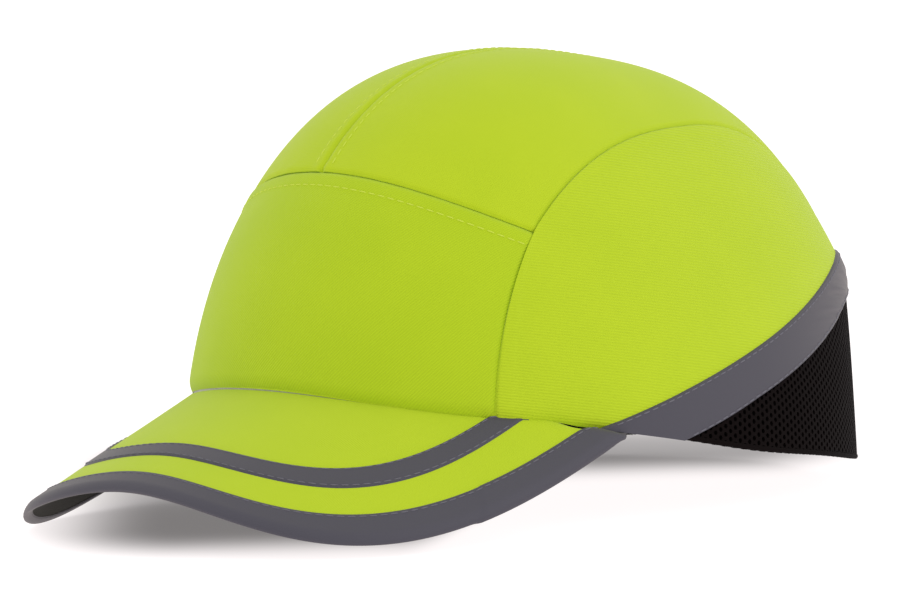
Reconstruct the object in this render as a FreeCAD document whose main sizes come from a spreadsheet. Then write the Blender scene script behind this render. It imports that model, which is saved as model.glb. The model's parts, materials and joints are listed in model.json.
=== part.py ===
"""Hi-vis bump cap: a peaked fabric cap that holds a vented shell with foam pads. Millimetres.

Every sub-part is drawn in the cap's own frame, with Z up the crown, X to the wearer's left, Y to
the back and zero at the hem. The rest placement then tips the cap back, so that it stands on the
two corners of its brim and on the back hem beside its opening.
"""
import FreeCAD, Part
import math
import os
import Sketcher

DIMENSIONS = {
    # the crown's outside: half an ellipse in plan ahead of the ears, another half behind them
    "crown_front": 111.4,
    "crown_back": 116.6,
    "crown_side": 88.9,
    "crown_height": 108.6,
    "rise_power": 2.094,
    "reach_power": 2.593,
    "front_taper": -0.041,
    "side_taper": 0.2127,
    "back_taper": 0.1825,
    "back_tuck": 0.1527,
    "tuck_top": 56.0,
    "skirt_depth": 4.0,
    # the panels and the seams between them
    "seam_gap": 0.4,
    "tape_half": 6.0,
    "front_half": 61.3,
    "front_lean": 0.0768,
    "front_corner": 52.8,
    "front_radius": 141.0,
    "outline_drop": 20.0,
    "side_seam_front": 61.8,
    "side_seam_back": 18.3,
    "side_seam_reach": 130.0,
    "side_seam_radius": 1200.0,
    "side_tape_front": 58.0,
    # the reflective tape that climbs from the brim to the back
    "arch_angle": 28.8,
    "arch_middle": 27.4,
    "arch_level": 61.5,
    "arch_radius": 60.0,
    "arch_tape": 12.0,
    # the half-moon opening over the strap
    "opening_half": 42.0,
    "opening_straight": 22.0,
    "opening_arc": 24.0,
    "opening_tape": 5.0,
    # the brim: an arched sheet that falls to the front
    "brim_half": 83.0,
    "brim_reach": 48.1,
    "brim_end": 46.1,
    "brim_power": 2.88,
    "brim_fall": 0.6136,
    "brim_arch": 0.00557,
    "brim_tape": 6.5,
    "brim_top": 1.6,
    "leaf_thick": 0.4,
    "cover_thick": 0.4,
    "board_thick": 1.2,
    "sheet_gap": 0.12,
    "stripe_half": 65.55,
    "stripe_reach": 33.2,
    "stripe_end": 71.1,
    "stripe_power": 2.76,
    "stripe_width": 6.1,
    # layers, each counted inward from the crown's outside
    "tape_out": -0.9,
    "tape_in": -0.3,
    "fabric_in": 1.2,
    "lining_out": 1.5,
    "lining_in": 2.1,
    "band_out": 2.6,
    "band_in": 5.0,
    "loop_in": 3.6,
    "hook_out": 4.0,
    "hook_in": 5.3,
    "shell_out": 5.6,
    "shell_in": 7.8,
    "trim_in": 8.6,
    "foam_out": 8.2,
    "foam_in": 13.2,
    # heights inside the cap
    "band_top": 28.0,
    "hem_top": 12.0,
    "rim_front": 24.0,
    "rim_tilt": 6.2,
    "trim_width": 3.0,
    "trim_gap": 0.1,
    "grip_radius": 18.0,
    "label_turn": 138.0,
    "label_wide": 24.0,
    "label_high": 30.0,
    "band_low": 0.5,
    # the strap: strips of webbing bent round one upright axis
    "strap_radius": 72.0,
    "strap_cover": 3.9,
    "strap_low": 5.0,
    "strap_width": 20.0,
    "webbing": 1.0,
    "touch_tape": 0.5,
    "strap_gap": 0.3,
    "glue_gap": 0.05,
    "strap_root": 50.0,
    "tab_root": 16.0,
    "tab_gap": 0.3,
    "tab_clear": 0.8,
    "tab_tip": 15.0,
    "anchor_end": 46.0,
    "loop_end": 24.0,
    "patch_edge": 2.0,
    "adjust_spare": 12.0,
    # how the cap stands
    "rest_tilt": 10.29,
    "rest_lift": 15.55,
    "rest_shift": 29.1,
}
FAR = 160.0  # longer than the cap in every direction, for cutters
NEAR = 0.1  # how close an edge's middle is to a spot when it is the edge meant

doc = FreeCAD.newDocument("bump_cap")
sheet = doc.addObject("Spreadsheet::Sheet", "size")
for row, (alias, number) in enumerate(DIMENSIONS.items(), start=1):
    sheet.set(f"A{row}", alias)
    sheet.set(f"B{row}", str(number))
    sheet.setAlias(f"B{row}", alias)
doc.recompute()

Vector = FreeCAD.Vector
REST = FreeCAD.Placement(
    Vector(0, sheet.rest_shift, sheet.rest_lift),
    FreeCAD.Rotation(Vector(1, 0, 0), -sheet.rest_tilt),
)
sub_parts = []


def sub_part(name, thing):
    """Give a finished object its name and stand it in the cap's rest position."""
    thing.Label = name
    thing.Placement = REST.multiply(thing.Placement)
    sub_parts.append(thing)


# Tools that the sub-parts are cut with


def cut(name, base, tool):
    result = doc.addObject("Part::Cut", name)
    result.Base = base
    result.Tool = tool
    return result


def common(name, base, tool):
    result = doc.addObject("Part::Common", name)
    result.Base = base
    result.Tool = tool
    return result


def carve(name, base, keep=(), remove=()):
    """What is left of a layer inside every solid to keep and outside every solid to remove."""
    result = base
    for step, tool in enumerate(keep):
        result = common(f"{name}_keep{step}", result, tool)
    for step, tool in enumerate(remove):
        result = cut(f"{name}_cut{step}", result, tool)
    return result


def block(name, low, high):
    """A box between two corners, each given as three expressions or numbers."""
    box = doc.addObject("Part::Box", name)
    for letter, side, start, end in zip("xyz", ("Length", "Width", "Height"), low, high):
        box.setExpression(f"Placement.Base.{letter}", str(start))
        box.setExpression(side, f"({end}) - ({start})")
    return box


def ellipse_bar(name, half_x, half_y, height, centre_z, upright):
    """An elliptic bar, standing upright or lying along Y from the centre to the back."""
    outline = doc.addObject("Part::Ellipse", f"{name}_outline")
    major, minor = (half_y, half_x) if upright else (half_x, half_y)
    outline.setExpression("MajorRadius", major)
    outline.setExpression("MinorRadius", minor)
    if upright:
        outline.Placement.Rotation = FreeCAD.Rotation(Vector(0, 0, 1), 90)
    else:
        outline.Placement.Rotation = FreeCAD.Rotation(Vector(1, 0, 0), 90)
    outline.setExpression("Placement.Base.z", str(centre_z))
    bar = doc.addObject("Part::Extrusion", name)
    bar.Base = outline
    bar.Solid = True
    bar.DirMode = "Custom"
    bar.Dir = Vector(0, 0, 1) if upright else Vector(0, 1, 0)
    bar.setExpression("LengthFwd", str(height))
    return bar


def padded_outline(name, plane, corners, length, symmetric=False, arcs=()):
    """A body padded from straight sides between corners; arcs maps a side to its radius."""
    arcs = dict(arcs)
    body = doc.addObject("PartDesign::Body", name)
    sketch = body.newObject("Sketcher::SketchObject", f"{name}_sketch")
    support = next(item for item in body.Origin.OriginFeatures if item.Role == plane)
    sketch.AttachmentSupport = (support, [""])
    sketch.MapMode = "FlatFace"
    spots = [Vector(body.evalExpression(x), body.evalExpression(y), 0) for x, y in corners]
    count = len(spots)
    for side, start in enumerate(spots):
        end = spots[(side + 1) % count]
        if side in arcs:
            radius = abs(body.evalExpression(arcs[side]))
            chord = end - start
            across = Vector(-chord.y, chord.x, 0).normalize()
            bulge = radius - math.sqrt(radius**2 - chord.Length**2 / 4)
            middle = (start + end) / 2 - across * bulge
            sketch.addGeometry(Part.Arc(start, middle, end))
        else:
            sketch.addGeometry(Part.LineSegment(start, end))
    starts = []
    for side in range(count):
        arc = sketch.Geometry[side]
        forward = side not in arcs or (arc.StartPoint - spots[side]).Length < NEAR
        starts.append((1, 2) if forward else (2, 1))
    for side in range(count):
        following = (side + 1) % count
        join = Sketcher.Constraint("Coincident", side, starts[side][1], following, starts[following][0])
        sketch.addConstraint(join)
        for kind, amount, formula in zip(
            ("DistanceX", "DistanceY"), (spots[side].x, spots[side].y), corners[side]
        ):
            index = sketch.addConstraint(Sketcher.Constraint(kind, side, starts[side][0], amount))
            sketch.setExpression(f"Constraints[{index}]", formula)
        if side in arcs:
            radius = body.evalExpression(arcs[side])
            index = sketch.addConstraint(Sketcher.Constraint("Radius", side, radius))
            sketch.setExpression(f"Constraints[{index}]", arcs[side])
    pad = body.newObject("PartDesign::Pad", f"{name}_pad")
    pad.Profile = (sketch, [""])
    pad.setExpression("Length", str(length))
    if symmetric:
        pad.SideType = "Symmetric"
    return body


# The crown's free-form layers


def crown_point(turn, rise, inset):
    """A point on the crown: turn runs round from the front, rise from 0 at the hem to 90 on top."""
    ahead = math.cos(turn)
    aside = math.sin(turn)
    reach = sheet.crown_front if ahead > 0 else sheet.crown_back
    taper = sheet.front_taper if ahead > 0 else sheet.back_taper
    radius = 1 / math.hypot(aside / (sheet.crown_side - inset), ahead / (reach - inset))
    height = (sheet.crown_height - inset) * math.sin(rise) ** (2 / sheet.rise_power)
    lean = taper * ahead**2 + sheet.side_taper * aside**2
    radius *= max(math.cos(rise), 0) ** (2 / sheet.reach_power) * (1 - lean * math.sin(rise))
    if ahead < 0 and height < sheet.tuck_top:
        radius *= 1 - sheet.back_tuck * ahead**2 * (1 - (height / sheet.tuck_top) ** 2)
    return Vector(radius * aside, -radius * ahead, height)


def crown_solid(name, inset):
    """The left half of the solid under the crown, drawn in by inset, with a skirt below the hem."""
    rises = [math.radians(angle) for angle in (0, 3, 7, 12, 18, 24, 30, 36, 42, 49, 56, 63, 70, 77, 84)]
    turns = [math.radians(7.5 * column) for column in range(25)]
    grid = [[crown_point(turn, rise, inset) for turn in turns] for rise in rises]
    for depth in (1, 2):
        skirt = Vector(0, 0, depth * sheet.skirt_depth)
        grid.insert(0, [crown_point(turn, 0, inset) - skirt for turn in turns])
    grid.append([Vector(0, 0, sheet.crown_height - inset)] * len(turns))
    surface = Part.BSplineSurface()
    surface.interpolate(grid)
    side = surface.toShape()
    edges = sorted((edge for edge in side.Edges if edge.Length > 1), key=lambda edge: edge.BoundBox.ZMax)
    hem = edges[0]
    middle = Part.LineSegment(*[hem.valueAt(at) for at in hem.ParameterRange]).toShape()
    base = Part.Face(Part.Wire([hem, middle]))
    cut_face = Part.Face(Part.Wire(Part.__sortEdges__([middle, edges[1], edges[2]])))
    shell = Part.Shell([side, base, cut_face])
    shell.sewShape()
    solid = Part.Solid(shell)
    if solid.Volume < 0:
        solid.reverse()
    feature = doc.addObject("Part::Feature", name)
    feature.Shape = solid
    return feature


def crown_layer(name, outer, inner, floor=0):
    """The left half of the skin between two insets, from the floor height up."""
    above = block(f"{name}_above", (-FAR, -FAR, floor), (FAR, FAR, FAR))
    solid = common(f"{name}_solid", crown_solid(f"{name}_outside", outer), above)
    return cut(f"{name}_layer", solid, crown_solid(f"{name}_inside", inner))


def mirrored(name, thing):
    twin = doc.addObject("Part::Mirroring", f"{name}_twin")
    twin.Source = thing
    twin.Normal = Vector(1, 0, 0)
    return twin


def whole(name, thing):
    """A left half joined to its mirror image, as one sub-part across the middle."""
    both = doc.addObject("Part::Fuse", f"{name}_both")
    both.Base = thing
    both.Tool = mirrored(name, thing)
    sub_part(name, both)


def pair(name, thing):
    """A sub-part on the wearer's left, and its mirror image on the right."""
    sub_part(f"{name}_left", thing)
    twin = mirrored(name, thing)
    twin.Label = f"{name}_right"
    sub_parts.append(twin)


# Regions of the crown that the seams bound


def front_region(name, grow):
    """Everything ahead of the front panel's outline, the outline moved outward by grow."""
    low = "-size.outline_drop"
    side_low = f"size.front_half - ({low}) * size.front_lean + ({grow})"
    side_top = f"size.front_half - size.front_corner * size.front_lean + ({grow})"
    top = f"size.front_corner + ({grow})"
    corners = [
        (f"-({side_low})", low),
        (side_low, low),
        (side_top, top),
        (f"-({side_top})", top),
    ]
    return padded_outline(name, "XZ_Plane", corners, FAR, arcs={2: f"size.front_radius + ({grow})"})


def top_region(name, grow):
    """The strip between the two side seams, as seen from above, run on past both ends."""
    front = f"size.side_seam_front + ({grow})"
    back = f"size.side_seam_back + ({grow})"
    reach = "size.side_seam_reach"
    corners = [(f"-({back})", reach), (f"-({front})", f"-{reach}"), (front, f"-{reach}"), (back, reach)]
    bows = {0: "size.side_seam_radius", 2: "size.side_seam_radius"}
    return padded_outline(name, "XY_Plane", corners, FAR, arcs=bows)


def arch_region(name, drop):
    """Everything below the arched tape's upper edge, the edge moved down by drop."""
    shift = f"({drop}) / cos(size.arch_angle)"
    level = f"size.arch_level - ({drop})"
    bend = f"(({level}) - size.arch_middle + {shift}) / tan(size.arch_angle)"
    start = f"size.arch_middle - {shift} - {FAR} * tan(size.arch_angle)"
    corners = [
        (str(-FAR), str(-FAR)),
        (str(FAR), str(-FAR)),
        (str(FAR), level),
        (bend, level),
        (str(-FAR), start),
    ]
    body = padded_outline(name, "YZ_Plane", corners, 2 * FAR, symmetric=True)
    doc.recompute()
    pad = body.Tip
    spot = Vector(0, body.evalExpression(bend), body.evalExpression(level))
    bends = [
        f"Edge{number}"
        for number, edge in enumerate(pad.Shape.Edges, start=1)
        if (edge.CenterOfMass - spot).Length < NEAR
    ]
    fillet = body.newObject("PartDesign::Fillet", f"{name}_bend")
    fillet.Base = (pad, bends)
    fillet.setExpression("Radius", f"size.arch_radius + ({drop})")
    return body


half_gap = "size.seam_gap / 2"
front_outline = front_region("front_outline", 0)
front_clear = front_region("front_clear", "size.seam_gap")
front_tape_outer = front_region("front_tape_outer", "size.tape_half")
front_tape_inner = front_region("front_tape_inner", "-size.tape_half")
front_tape_clear = front_region("front_tape_clear", "size.tape_half + size.seam_gap")
top_outline = top_region("top_outline", 0)
top_clear = top_region("top_clear", "size.seam_gap")
top_tape_outer = top_region("top_tape_outer", "size.tape_half")
top_tape_inner = top_region("top_tape_inner", "-size.tape_half")
arch_upper = arch_region("arch_upper", 0)
arch_lower = arch_region("arch_lower", "size.arch_tape")
arch_panels = arch_region("arch_panels", f"size.arch_tape / 2 - {half_gap}")
arch_mesh = arch_region("arch_mesh", f"size.arch_tape / 2 + {half_gap}")


# The fabric panels


def opening(name, grow):
    """The half-moon opening: straight sides behind the strap, and an arc above it."""
    half = f"size.opening_half + ({grow})"
    straight = block(f"{name}_straight", (f"-({half})", 0, -FAR), (half, FAR, "size.opening_straight"))
    rise = f"size.opening_arc + ({grow})"
    arc = ellipse_bar(f"{name}_arc", half, rise, FAR, "size.opening_straight", upright=False)
    both = doc.addObject("Part::Fuse", name)
    both.Base = straight
    both.Tool = arc
    return both


opening_inner = opening("opening_inner", 0)
opening_outer = opening("opening_outer", "size.opening_tape")
below_hem = block("below_hem", (-FAR, "-size.brim_end", -FAR), (FAR, FAR, 0))
fabric_layer = crown_layer("fabric", 0, sheet.fabric_in, "-size.skirt_depth")
fabric = cut("fabric_hemmed", fabric_layer, below_hem)
lining = crown_layer("lining", sheet.lining_out, sheet.lining_in)
outer_tape = crown_layer("outer_tape", sheet.tape_out, sheet.tape_in)

whole("front_panel", carve("front_panel", fabric, keep=[front_outline]))
pair("crown_panel", carve("crown_panel", fabric, keep=[top_outline], remove=[arch_panels, front_clear]))
pair("side_panel", carve("side_panel", fabric, remove=[arch_panels, front_clear, top_clear]))
whole("rear_mesh", carve("rear_mesh", fabric, keep=[arch_mesh], remove=[opening_inner]))

# Tapes outside the seams, and tapes and a stiffener inside them

brim_room = block("brim_room", (-FAR, -FAR, -FAR), (FAR, "size.seam_gap - size.brim_end", FAR))
arch_tape = carve("arch_tape", outer_tape, keep=[arch_upper], remove=[arch_lower, brim_room])
whole("arch_tape", arch_tape)
below_tape = arch_region("below_tape", "size.arch_tape + size.seam_gap")
binding_keep = [opening_outer, below_tape]
binding = carve("opening_binding", outer_tape, keep=binding_keep, remove=[opening_inner])
whole("opening_binding", binding)
front_tape = carve("front_seam_tape", lining, keep=[front_tape_outer], remove=[front_tape_inner])
whole("front_seam_tape", front_tape)
stiffener_edge = front_region("stiffener_edge", "-size.tape_half - size.seam_gap")
whole("front_stiffener", carve("front_stiffener", lining, keep=[stiffener_edge]))
centre_strip = block(
    "centre_strip", ("-size.tape_half", -FAR, 0), ("size.tape_half", FAR, FAR)
)
whole(
    "centre_seam_tape",
    carve("centre_seam_tape", lining, keep=[centre_strip], remove=[arch_panels, front_tape_clear]),
)
behind_corner = block("behind_corner", (0, "-size.side_tape_front", 0), (FAR, FAR, FAR))
side_tape = carve(
    "side_seam_tape",
    lining,
    keep=[top_tape_outer, behind_corner],
    remove=[top_tape_inner, arch_panels, front_tape_clear],
)
pair("side_seam_tape", side_tape)

# The hem's lining tape runs along the mesh on each side of the opening.
hem_start = "size.opening_half + size.seam_gap"
hem_strip = block("hem_strip", (hem_start, "-size.brim_end / 2", 0), (FAR, FAR, "size.hem_top"))
pair("hem_tape", carve("hem_tape", lining, keep=[hem_strip]))

# A blank care label above the hem, behind the left ear
label_cutter = doc.addObject("Part::Box", "label_cutter")
label_cutter.setExpression("Length", "size.label_wide")
label_cutter.Width = FAR
label_cutter.setExpression("Height", "size.label_high")
label_turn = FreeCAD.Rotation(Vector(0, 0, 1), sheet.label_turn - 180)
label_cutter.Placement.Rotation = label_turn
label_cutter.Placement.Base = label_turn.multVec(Vector(-sheet.label_wide / 2, 0, 0))
label_cutter.setExpression("Placement.Base.z", "size.hem_top + size.seam_gap")
sub_part("care_label", carve("care_label", lining, keep=[label_cutter]))

# The sweatband runs round the brow and stops behind the ears.
band_low = (-FAR, -FAR, "size.band_low")
band_cutter = block("band_cutter", band_low, (FAR, "size.brim_reach", "size.band_top"))
band = crown_layer("band", sheet.band_out, sheet.band_in)
whole("sweatband", carve("sweatband", band, keep=[band_cutter]))


# The brim


def brim_plan(name, half, end, reach, power, grow):
    """An upright prism over the brim's plan, with its curved front and its square back."""
    half += grow
    length = sheet.crown_front + reach - end + grow
    spots = []
    for step in range(-9, 10):
        swing = math.radians(10 * step)
        across = math.copysign(abs(math.sin(swing)) ** (2 / power), swing)
        along = max(math.cos(swing), 0) ** (2 / power)
        spots.append(Vector(half * across, -end - length * along, -FAR))
    curve = Part.BSplineCurve()
    curve.interpolate(spots)
    back = Part.LineSegment(spots[-1], spots[0])
    face = Part.Face(Part.Wire([curve.toShape(), back.toShape()]))
    feature = doc.addObject("Part::Feature", name)
    feature.Shape = face.extrude(Vector(0, 0, 2 * FAR))
    return feature


def brim_sheet(name, top, bottom):
    """The brim's arched sheet between two heights over its face: a parabola pushed forward."""
    half = FAR
    drop = sheet.brim_arch * half**2
    ends = []
    curves = []
    for level in (top, bottom):
        poles = [Vector(-half, 0, level - drop), Vector(0, 0, level + drop), Vector(half, 0, level - drop)]
        bezier = Part.BezierCurve()
        bezier.setPoles(poles)
        curves.append(bezier.toShape())
        ends.append((poles[0], poles[-1]))
    sides = [Part.LineSegment(ends[0][side], ends[1][side]).toShape() for side in (0, 1)]
    face = Part.Face(Part.Wire([curves[0], sides[1], curves[1], sides[0]]))
    push = Vector(0, -2 * FAR, -2 * FAR * sheet.brim_fall)
    face.translate(Vector(0, 0, sheet.crown_front * sheet.brim_fall))
    feature = doc.addObject("Part::Feature", name)
    feature.Shape = face.extrude(push)
    return feature


def brim_outline(name, grow):
    return brim_plan(
        name, sheet.brim_half, sheet.brim_end, sheet.brim_reach, sheet.brim_power, grow
    )


def stripe_outline(name, grow):
    return brim_plan(
        name, sheet.stripe_half, sheet.stripe_end, sheet.stripe_reach, sheet.stripe_power, grow
    )


crown_column = ellipse_bar(
    "crown_column",
    "size.crown_side + size.seam_gap",
    "size.crown_front + size.seam_gap",
    2 * FAR,
    -FAR,
    upright=True,
)
# The brim's sheets, from the top down: the binding's upper leaf wraps over the cover, the board
# and the lower cover, and its lower leaf closes them in from below.
BRIM_SHEETS = {
    "brim_upper_cover": "cover_thick",
    "brim_board": "board_thick",
    "brim_lower_cover": "cover_thick",
}
covered_edge = brim_outline("covered_edge", -sheet.leaf_thick - sheet.sheet_gap)
bound_edge = brim_outline("bound_edge", 0)
binding_inner = brim_outline("binding_inner", -sheet.brim_tape)
leaf_top = sheet.brim_top
room_top = leaf_top - sheet.leaf_thick
level = room_top - sheet.sheet_gap
for name, thickness in BRIM_SHEETS.items():
    floor = level - getattr(sheet, thickness)
    layer = brim_sheet(f"{name}_sheet", level, floor)
    sub_part(name, carve(name, layer, keep=[covered_edge], remove=[crown_column]))
    level = floor - sheet.sheet_gap
room_floor = level
leaf_floor = room_floor - sheet.leaf_thick
stripe_inner = stripe_outline("stripe_inner", -sheet.stripe_width)
stripe = carve(
    "brim_stripe",
    brim_sheet("stripe_sheet", leaf_top, room_top),
    keep=[stripe_outline("stripe_outer", 0)],
    remove=[stripe_inner, crown_column],
)
sub_part("brim_stripe", stripe)
binding_room = common("binding_room", brim_sheet("room_sheet", room_top, room_floor), covered_edge)
binding = carve(
    "brim_binding",
    brim_sheet("binding_sheet", leaf_top, leaf_floor),
    keep=[bound_edge],
    remove=[binding_inner, binding_room, crown_column],
)
sub_part("brim_binding", binding)


# The bump shell, its pads and its grip


def rim_slab(name, top, bottom):
    """A tilted slab between two heights over the shell's rim plane."""
    slab = doc.addObject("Part::Box", name)
    slab.Length = 2 * FAR
    slab.Width = 3 * FAR
    slab.setExpression("Height", f"({top}) - ({bottom})")
    slab.Placement.Rotation = FreeCAD.Rotation(Vector(1, 0, 0), sheet.rim_tilt)
    slab.Placement.Base = Vector(-FAR, 0, 0)
    slab.setExpression("Placement.Base.y", "-size.crown_front")
    slab.setExpression("Placement.Base.z", f"size.rim_front + ({bottom})")
    return slab


VENT_HALF = (4.5, 13.0)  # half the width and half the length of one oval vent
VENT_SPOTS = [(x, y) for y in (-62.0, -24.0, 14.0, 52.0) for x in (14.0, 42.0)]


def vents():
    """Upright oval bars, one through each vent in the left half of the shell's roof."""
    bars = []
    for number, (x, y) in enumerate(VENT_SPOTS, start=1):
        bar = ellipse_bar(f"vent{number}", str(VENT_HALF[0]), str(VENT_HALF[1]), FAR, "0", upright=True)
        bar.Base.Placement.Base = Vector(x, y, 0)
        bars.append(bar)
    group = doc.addObject("Part::MultiFuse", "vents")
    group.Shapes = bars
    return group


above_rim = rim_slab("above_rim", FAR, 0)
shell = crown_layer("shell", sheet.shell_out, sheet.shell_in)
whole("bump_shell", carve("bump_shell", shell, keep=[above_rim], remove=[vents()]))
trim_layer = crown_layer("trim", sheet.shell_out, sheet.trim_in)
trim_slab = rim_slab("trim_slab", "-size.trim_gap", "-size.trim_width")
whole("shell_edge_trim", carve("shell_edge_trim", trim_layer, keep=[trim_slab]))

foam = crown_layer("foam", sheet.foam_out, sheet.foam_in)
PADS = {
    "front_pad": ((-36, -FAR, 36), (36, -30, 66)),
    "rear_pad": ((-32, 30, 56), (32, FAR, 80)),
}
SIDE_PAD = ((30, -34, 41), (FAR, 30, 68))
for name, (low, high) in PADS.items():
    whole(name, carve(name, foam, keep=[block(f"{name}_block", low, high)]))
side_pad_block = block("side_pad_block", *SIDE_PAD)
pair("side_pad", carve("side_pad", foam, keep=[side_pad_block]))


def disc(name, radius):
    """An upright cylinder at the crown's top."""
    cylinder = doc.addObject("Part::Cylinder", name)
    cylinder.setExpression("Radius", radius)
    cylinder.Height = FAR
    return cylinder


whole("crown_pad", carve("crown_pad", foam, keep=[disc("crown_pad_disc", "2 * size.grip_radius")]))
grip_disc = disc("grip_disc", "size.grip_radius")
loop_layer = crown_layer("grip_loop", sheet.band_out, sheet.loop_in)
hook_layer = crown_layer("grip_hook", sheet.hook_out, sheet.hook_in)
whole("crown_loop_patch", carve("crown_loop_patch", loop_layer, keep=[grip_disc]))
whole("shell_hook_patch", carve("shell_hook_patch", hook_layer, keep=[grip_disc]))


# The strap


def arc_strip(name, start, end, cover, thickness):
    """A strip bent round the strap's axis, between two angles counted from the back to the left."""
    body = doc.addObject("PartDesign::Body", name)
    sketch = body.newObject("Sketcher::SketchObject", f"{name}_section")
    support = next(item for item in body.Origin.OriginFeatures if item.Role == "XZ_Plane")
    sketch.AttachmentSupport = (support, [""])
    sketch.MapMode = "FlatFace"
    outer = f"size.strap_radius - ({cover})"
    inner = f"{outer} - ({thickness})"
    high = "size.strap_low + size.strap_width"
    corners = [(inner, "size.strap_low"), (outer, "size.strap_low"), (outer, high), (inner, high)]
    spots = [Vector(body.evalExpression(x), body.evalExpression(y), 0) for x, y in corners]
    for side, spot in enumerate(spots):
        sketch.addGeometry(Part.LineSegment(spot, spots[(side + 1) % 4]))
    for side, spot in enumerate(spots):
        sketch.addConstraint(Sketcher.Constraint("Coincident", side, 2, (side + 1) % 4, 1))
        for kind, amount, formula in zip(("DistanceX", "DistanceY"), (spot.x, spot.y), corners[side]):
            index = sketch.addConstraint(Sketcher.Constraint(kind, side, 1, amount))
            sketch.setExpression(f"Constraints[{index}]", formula)
    strip = body.newObject("PartDesign::Revolution", f"{name}_bend")
    strip.Profile = (sketch, [""])
    strip.ReferenceAxis = (sketch, ["V_Axis"])
    strip.setExpression("Angle", f"({end}) - ({start})")
    turn = 90 - body.evalExpression(end)
    body.Placement = FreeCAD.Placement(strap_centre, FreeCAD.Rotation(Vector(0, 0, 1), turn))
    return body


strap_centre = Vector(0, sheet.crown_back * (1 - sheet.back_tuck) - sheet.strap_radius, 0)
cover = "size.strap_cover"
under = f"{cover} + size.webbing + size.glue_gap"
loop_face = f"{under} + size.touch_tape + size.strap_gap"
loop_back = f"{loop_face} + size.touch_tape + size.glue_gap"
base_end = "-size.tab_root - size.tab_clear"
tab_start = "size.tab_gap - size.tab_root"
hook_ends = ("size.patch_edge - size.tab_root", "size.tab_tip - size.patch_edge")
patch_end = "size.tab_tip + size.adjust_spare"
tab_strip = arc_strip("tab_strip", tab_start, "size.tab_tip", cover, "size.webbing")

# The tab's root is rolled round the line that it peels about.
root = math.radians(sheet.tab_gap - sheet.tab_root)
root_radius = sheet.strap_radius - sheet.strap_cover - sheet.webbing / 2
tab_roll = doc.addObject("Part::Cylinder", "tab_roll")
tab_roll.setExpression("Radius", "size.webbing / 2")
tab_roll.setExpression("Height", "size.strap_width")
tab_roll.Placement.Base = strap_centre + Vector(
    root_radius * math.sin(root), root_radius * math.cos(root), sheet.strap_low
)
rolled_tab = doc.addObject("Part::Fuse", "rolled_tab")
rolled_tab.Base = tab_strip
rolled_tab.Tool = tab_roll

sub_part("strap_base", arc_strip("strap_base", "-size.strap_root", base_end, cover, "size.webbing"))
sub_part("strap_tab", rolled_tab)
sub_part("hook_patch", arc_strip("hook_patch", *hook_ends, under, "size.touch_tape"))
sub_part("loop_patch", arc_strip("loop_patch", "-size.loop_end", patch_end, loop_face, "size.touch_tape"))
sub_part("loop_strap", arc_strip("loop_strap", "-size.loop_end", "size.anchor_end", loop_back, "size.webbing"))

# Check every object, then write one file for each sub-part

doc.recompute()
broken = [item.Name for item in doc.Objects if {"Invalid", "Error"} & set(item.State)]
if broken:
    raise RuntimeError(f"failed objects: {broken}")
for item in sub_parts:
    if item.Shape.isNull() or not item.Shape.isValid() or len(item.Shape.Solids) != 1:
        raise RuntimeError(f"{item.Label}: shape is not one valid solid ({len(item.Shape.Solids)})")
os.makedirs("parts", exist_ok=True)
for item in sub_parts:
    item.Shape.exportStep(f"parts/{item.Label}.step")
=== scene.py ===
"""The looks of the hi-vis bump cap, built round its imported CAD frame. Metres.

Everything is drawn in the cap's own frame, with Z up the crown, X to the wearer's left, Y to the
back and zero at the hem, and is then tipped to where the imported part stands.
"""
import json
import math

import bmesh
import bpy
import numpy as np
from mathutils import Matrix, Vector


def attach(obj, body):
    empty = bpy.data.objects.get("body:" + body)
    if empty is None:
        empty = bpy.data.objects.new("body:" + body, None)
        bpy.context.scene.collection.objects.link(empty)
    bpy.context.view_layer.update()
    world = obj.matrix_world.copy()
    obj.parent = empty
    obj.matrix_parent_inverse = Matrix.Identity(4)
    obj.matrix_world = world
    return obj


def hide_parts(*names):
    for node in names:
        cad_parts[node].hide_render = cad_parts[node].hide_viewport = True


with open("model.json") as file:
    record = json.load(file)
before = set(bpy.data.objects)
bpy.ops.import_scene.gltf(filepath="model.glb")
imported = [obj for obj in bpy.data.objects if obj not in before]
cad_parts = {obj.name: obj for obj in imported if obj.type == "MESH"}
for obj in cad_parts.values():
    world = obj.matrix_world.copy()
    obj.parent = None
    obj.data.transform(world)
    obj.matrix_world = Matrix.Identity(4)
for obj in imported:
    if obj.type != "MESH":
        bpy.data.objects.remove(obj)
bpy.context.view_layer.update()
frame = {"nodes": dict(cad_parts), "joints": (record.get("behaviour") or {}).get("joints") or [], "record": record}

MM = 0.001

# How the cap stands: read from the strap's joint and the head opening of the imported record

strap_joint = next(joint for joint in frame["joints"] if joint["name"] == "size_adjust")
TILT = math.atan2(strap_joint["axis"][1], strap_joint["axis"][2])
ORIGIN = np.array(frame["record"]["mounts"][0]["pos_m"])
CAP_AXES = np.array([
    (1, 0, 0),
    (0, math.cos(TILT), -math.sin(TILT)),
    (0, math.sin(TILT), math.cos(TILT)),
])


def to_frame(points):
    return points @ CAP_AXES + ORIGIN


def to_cap(points):
    return (points - ORIGIN) @ CAP_AXES.T


def cap_box(node):
    """The lowest and highest corner of a CAD node, in the cap's own frame."""
    points = np.array([vertex.co for vertex in frame["nodes"][node].data.vertices], float)
    return to_cap(points).min(0), to_cap(points).max(0)


# The crown, which the part's source draws as half an ellipse in plan ahead of the ears and another
# behind them, both drawn in towards the top

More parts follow.
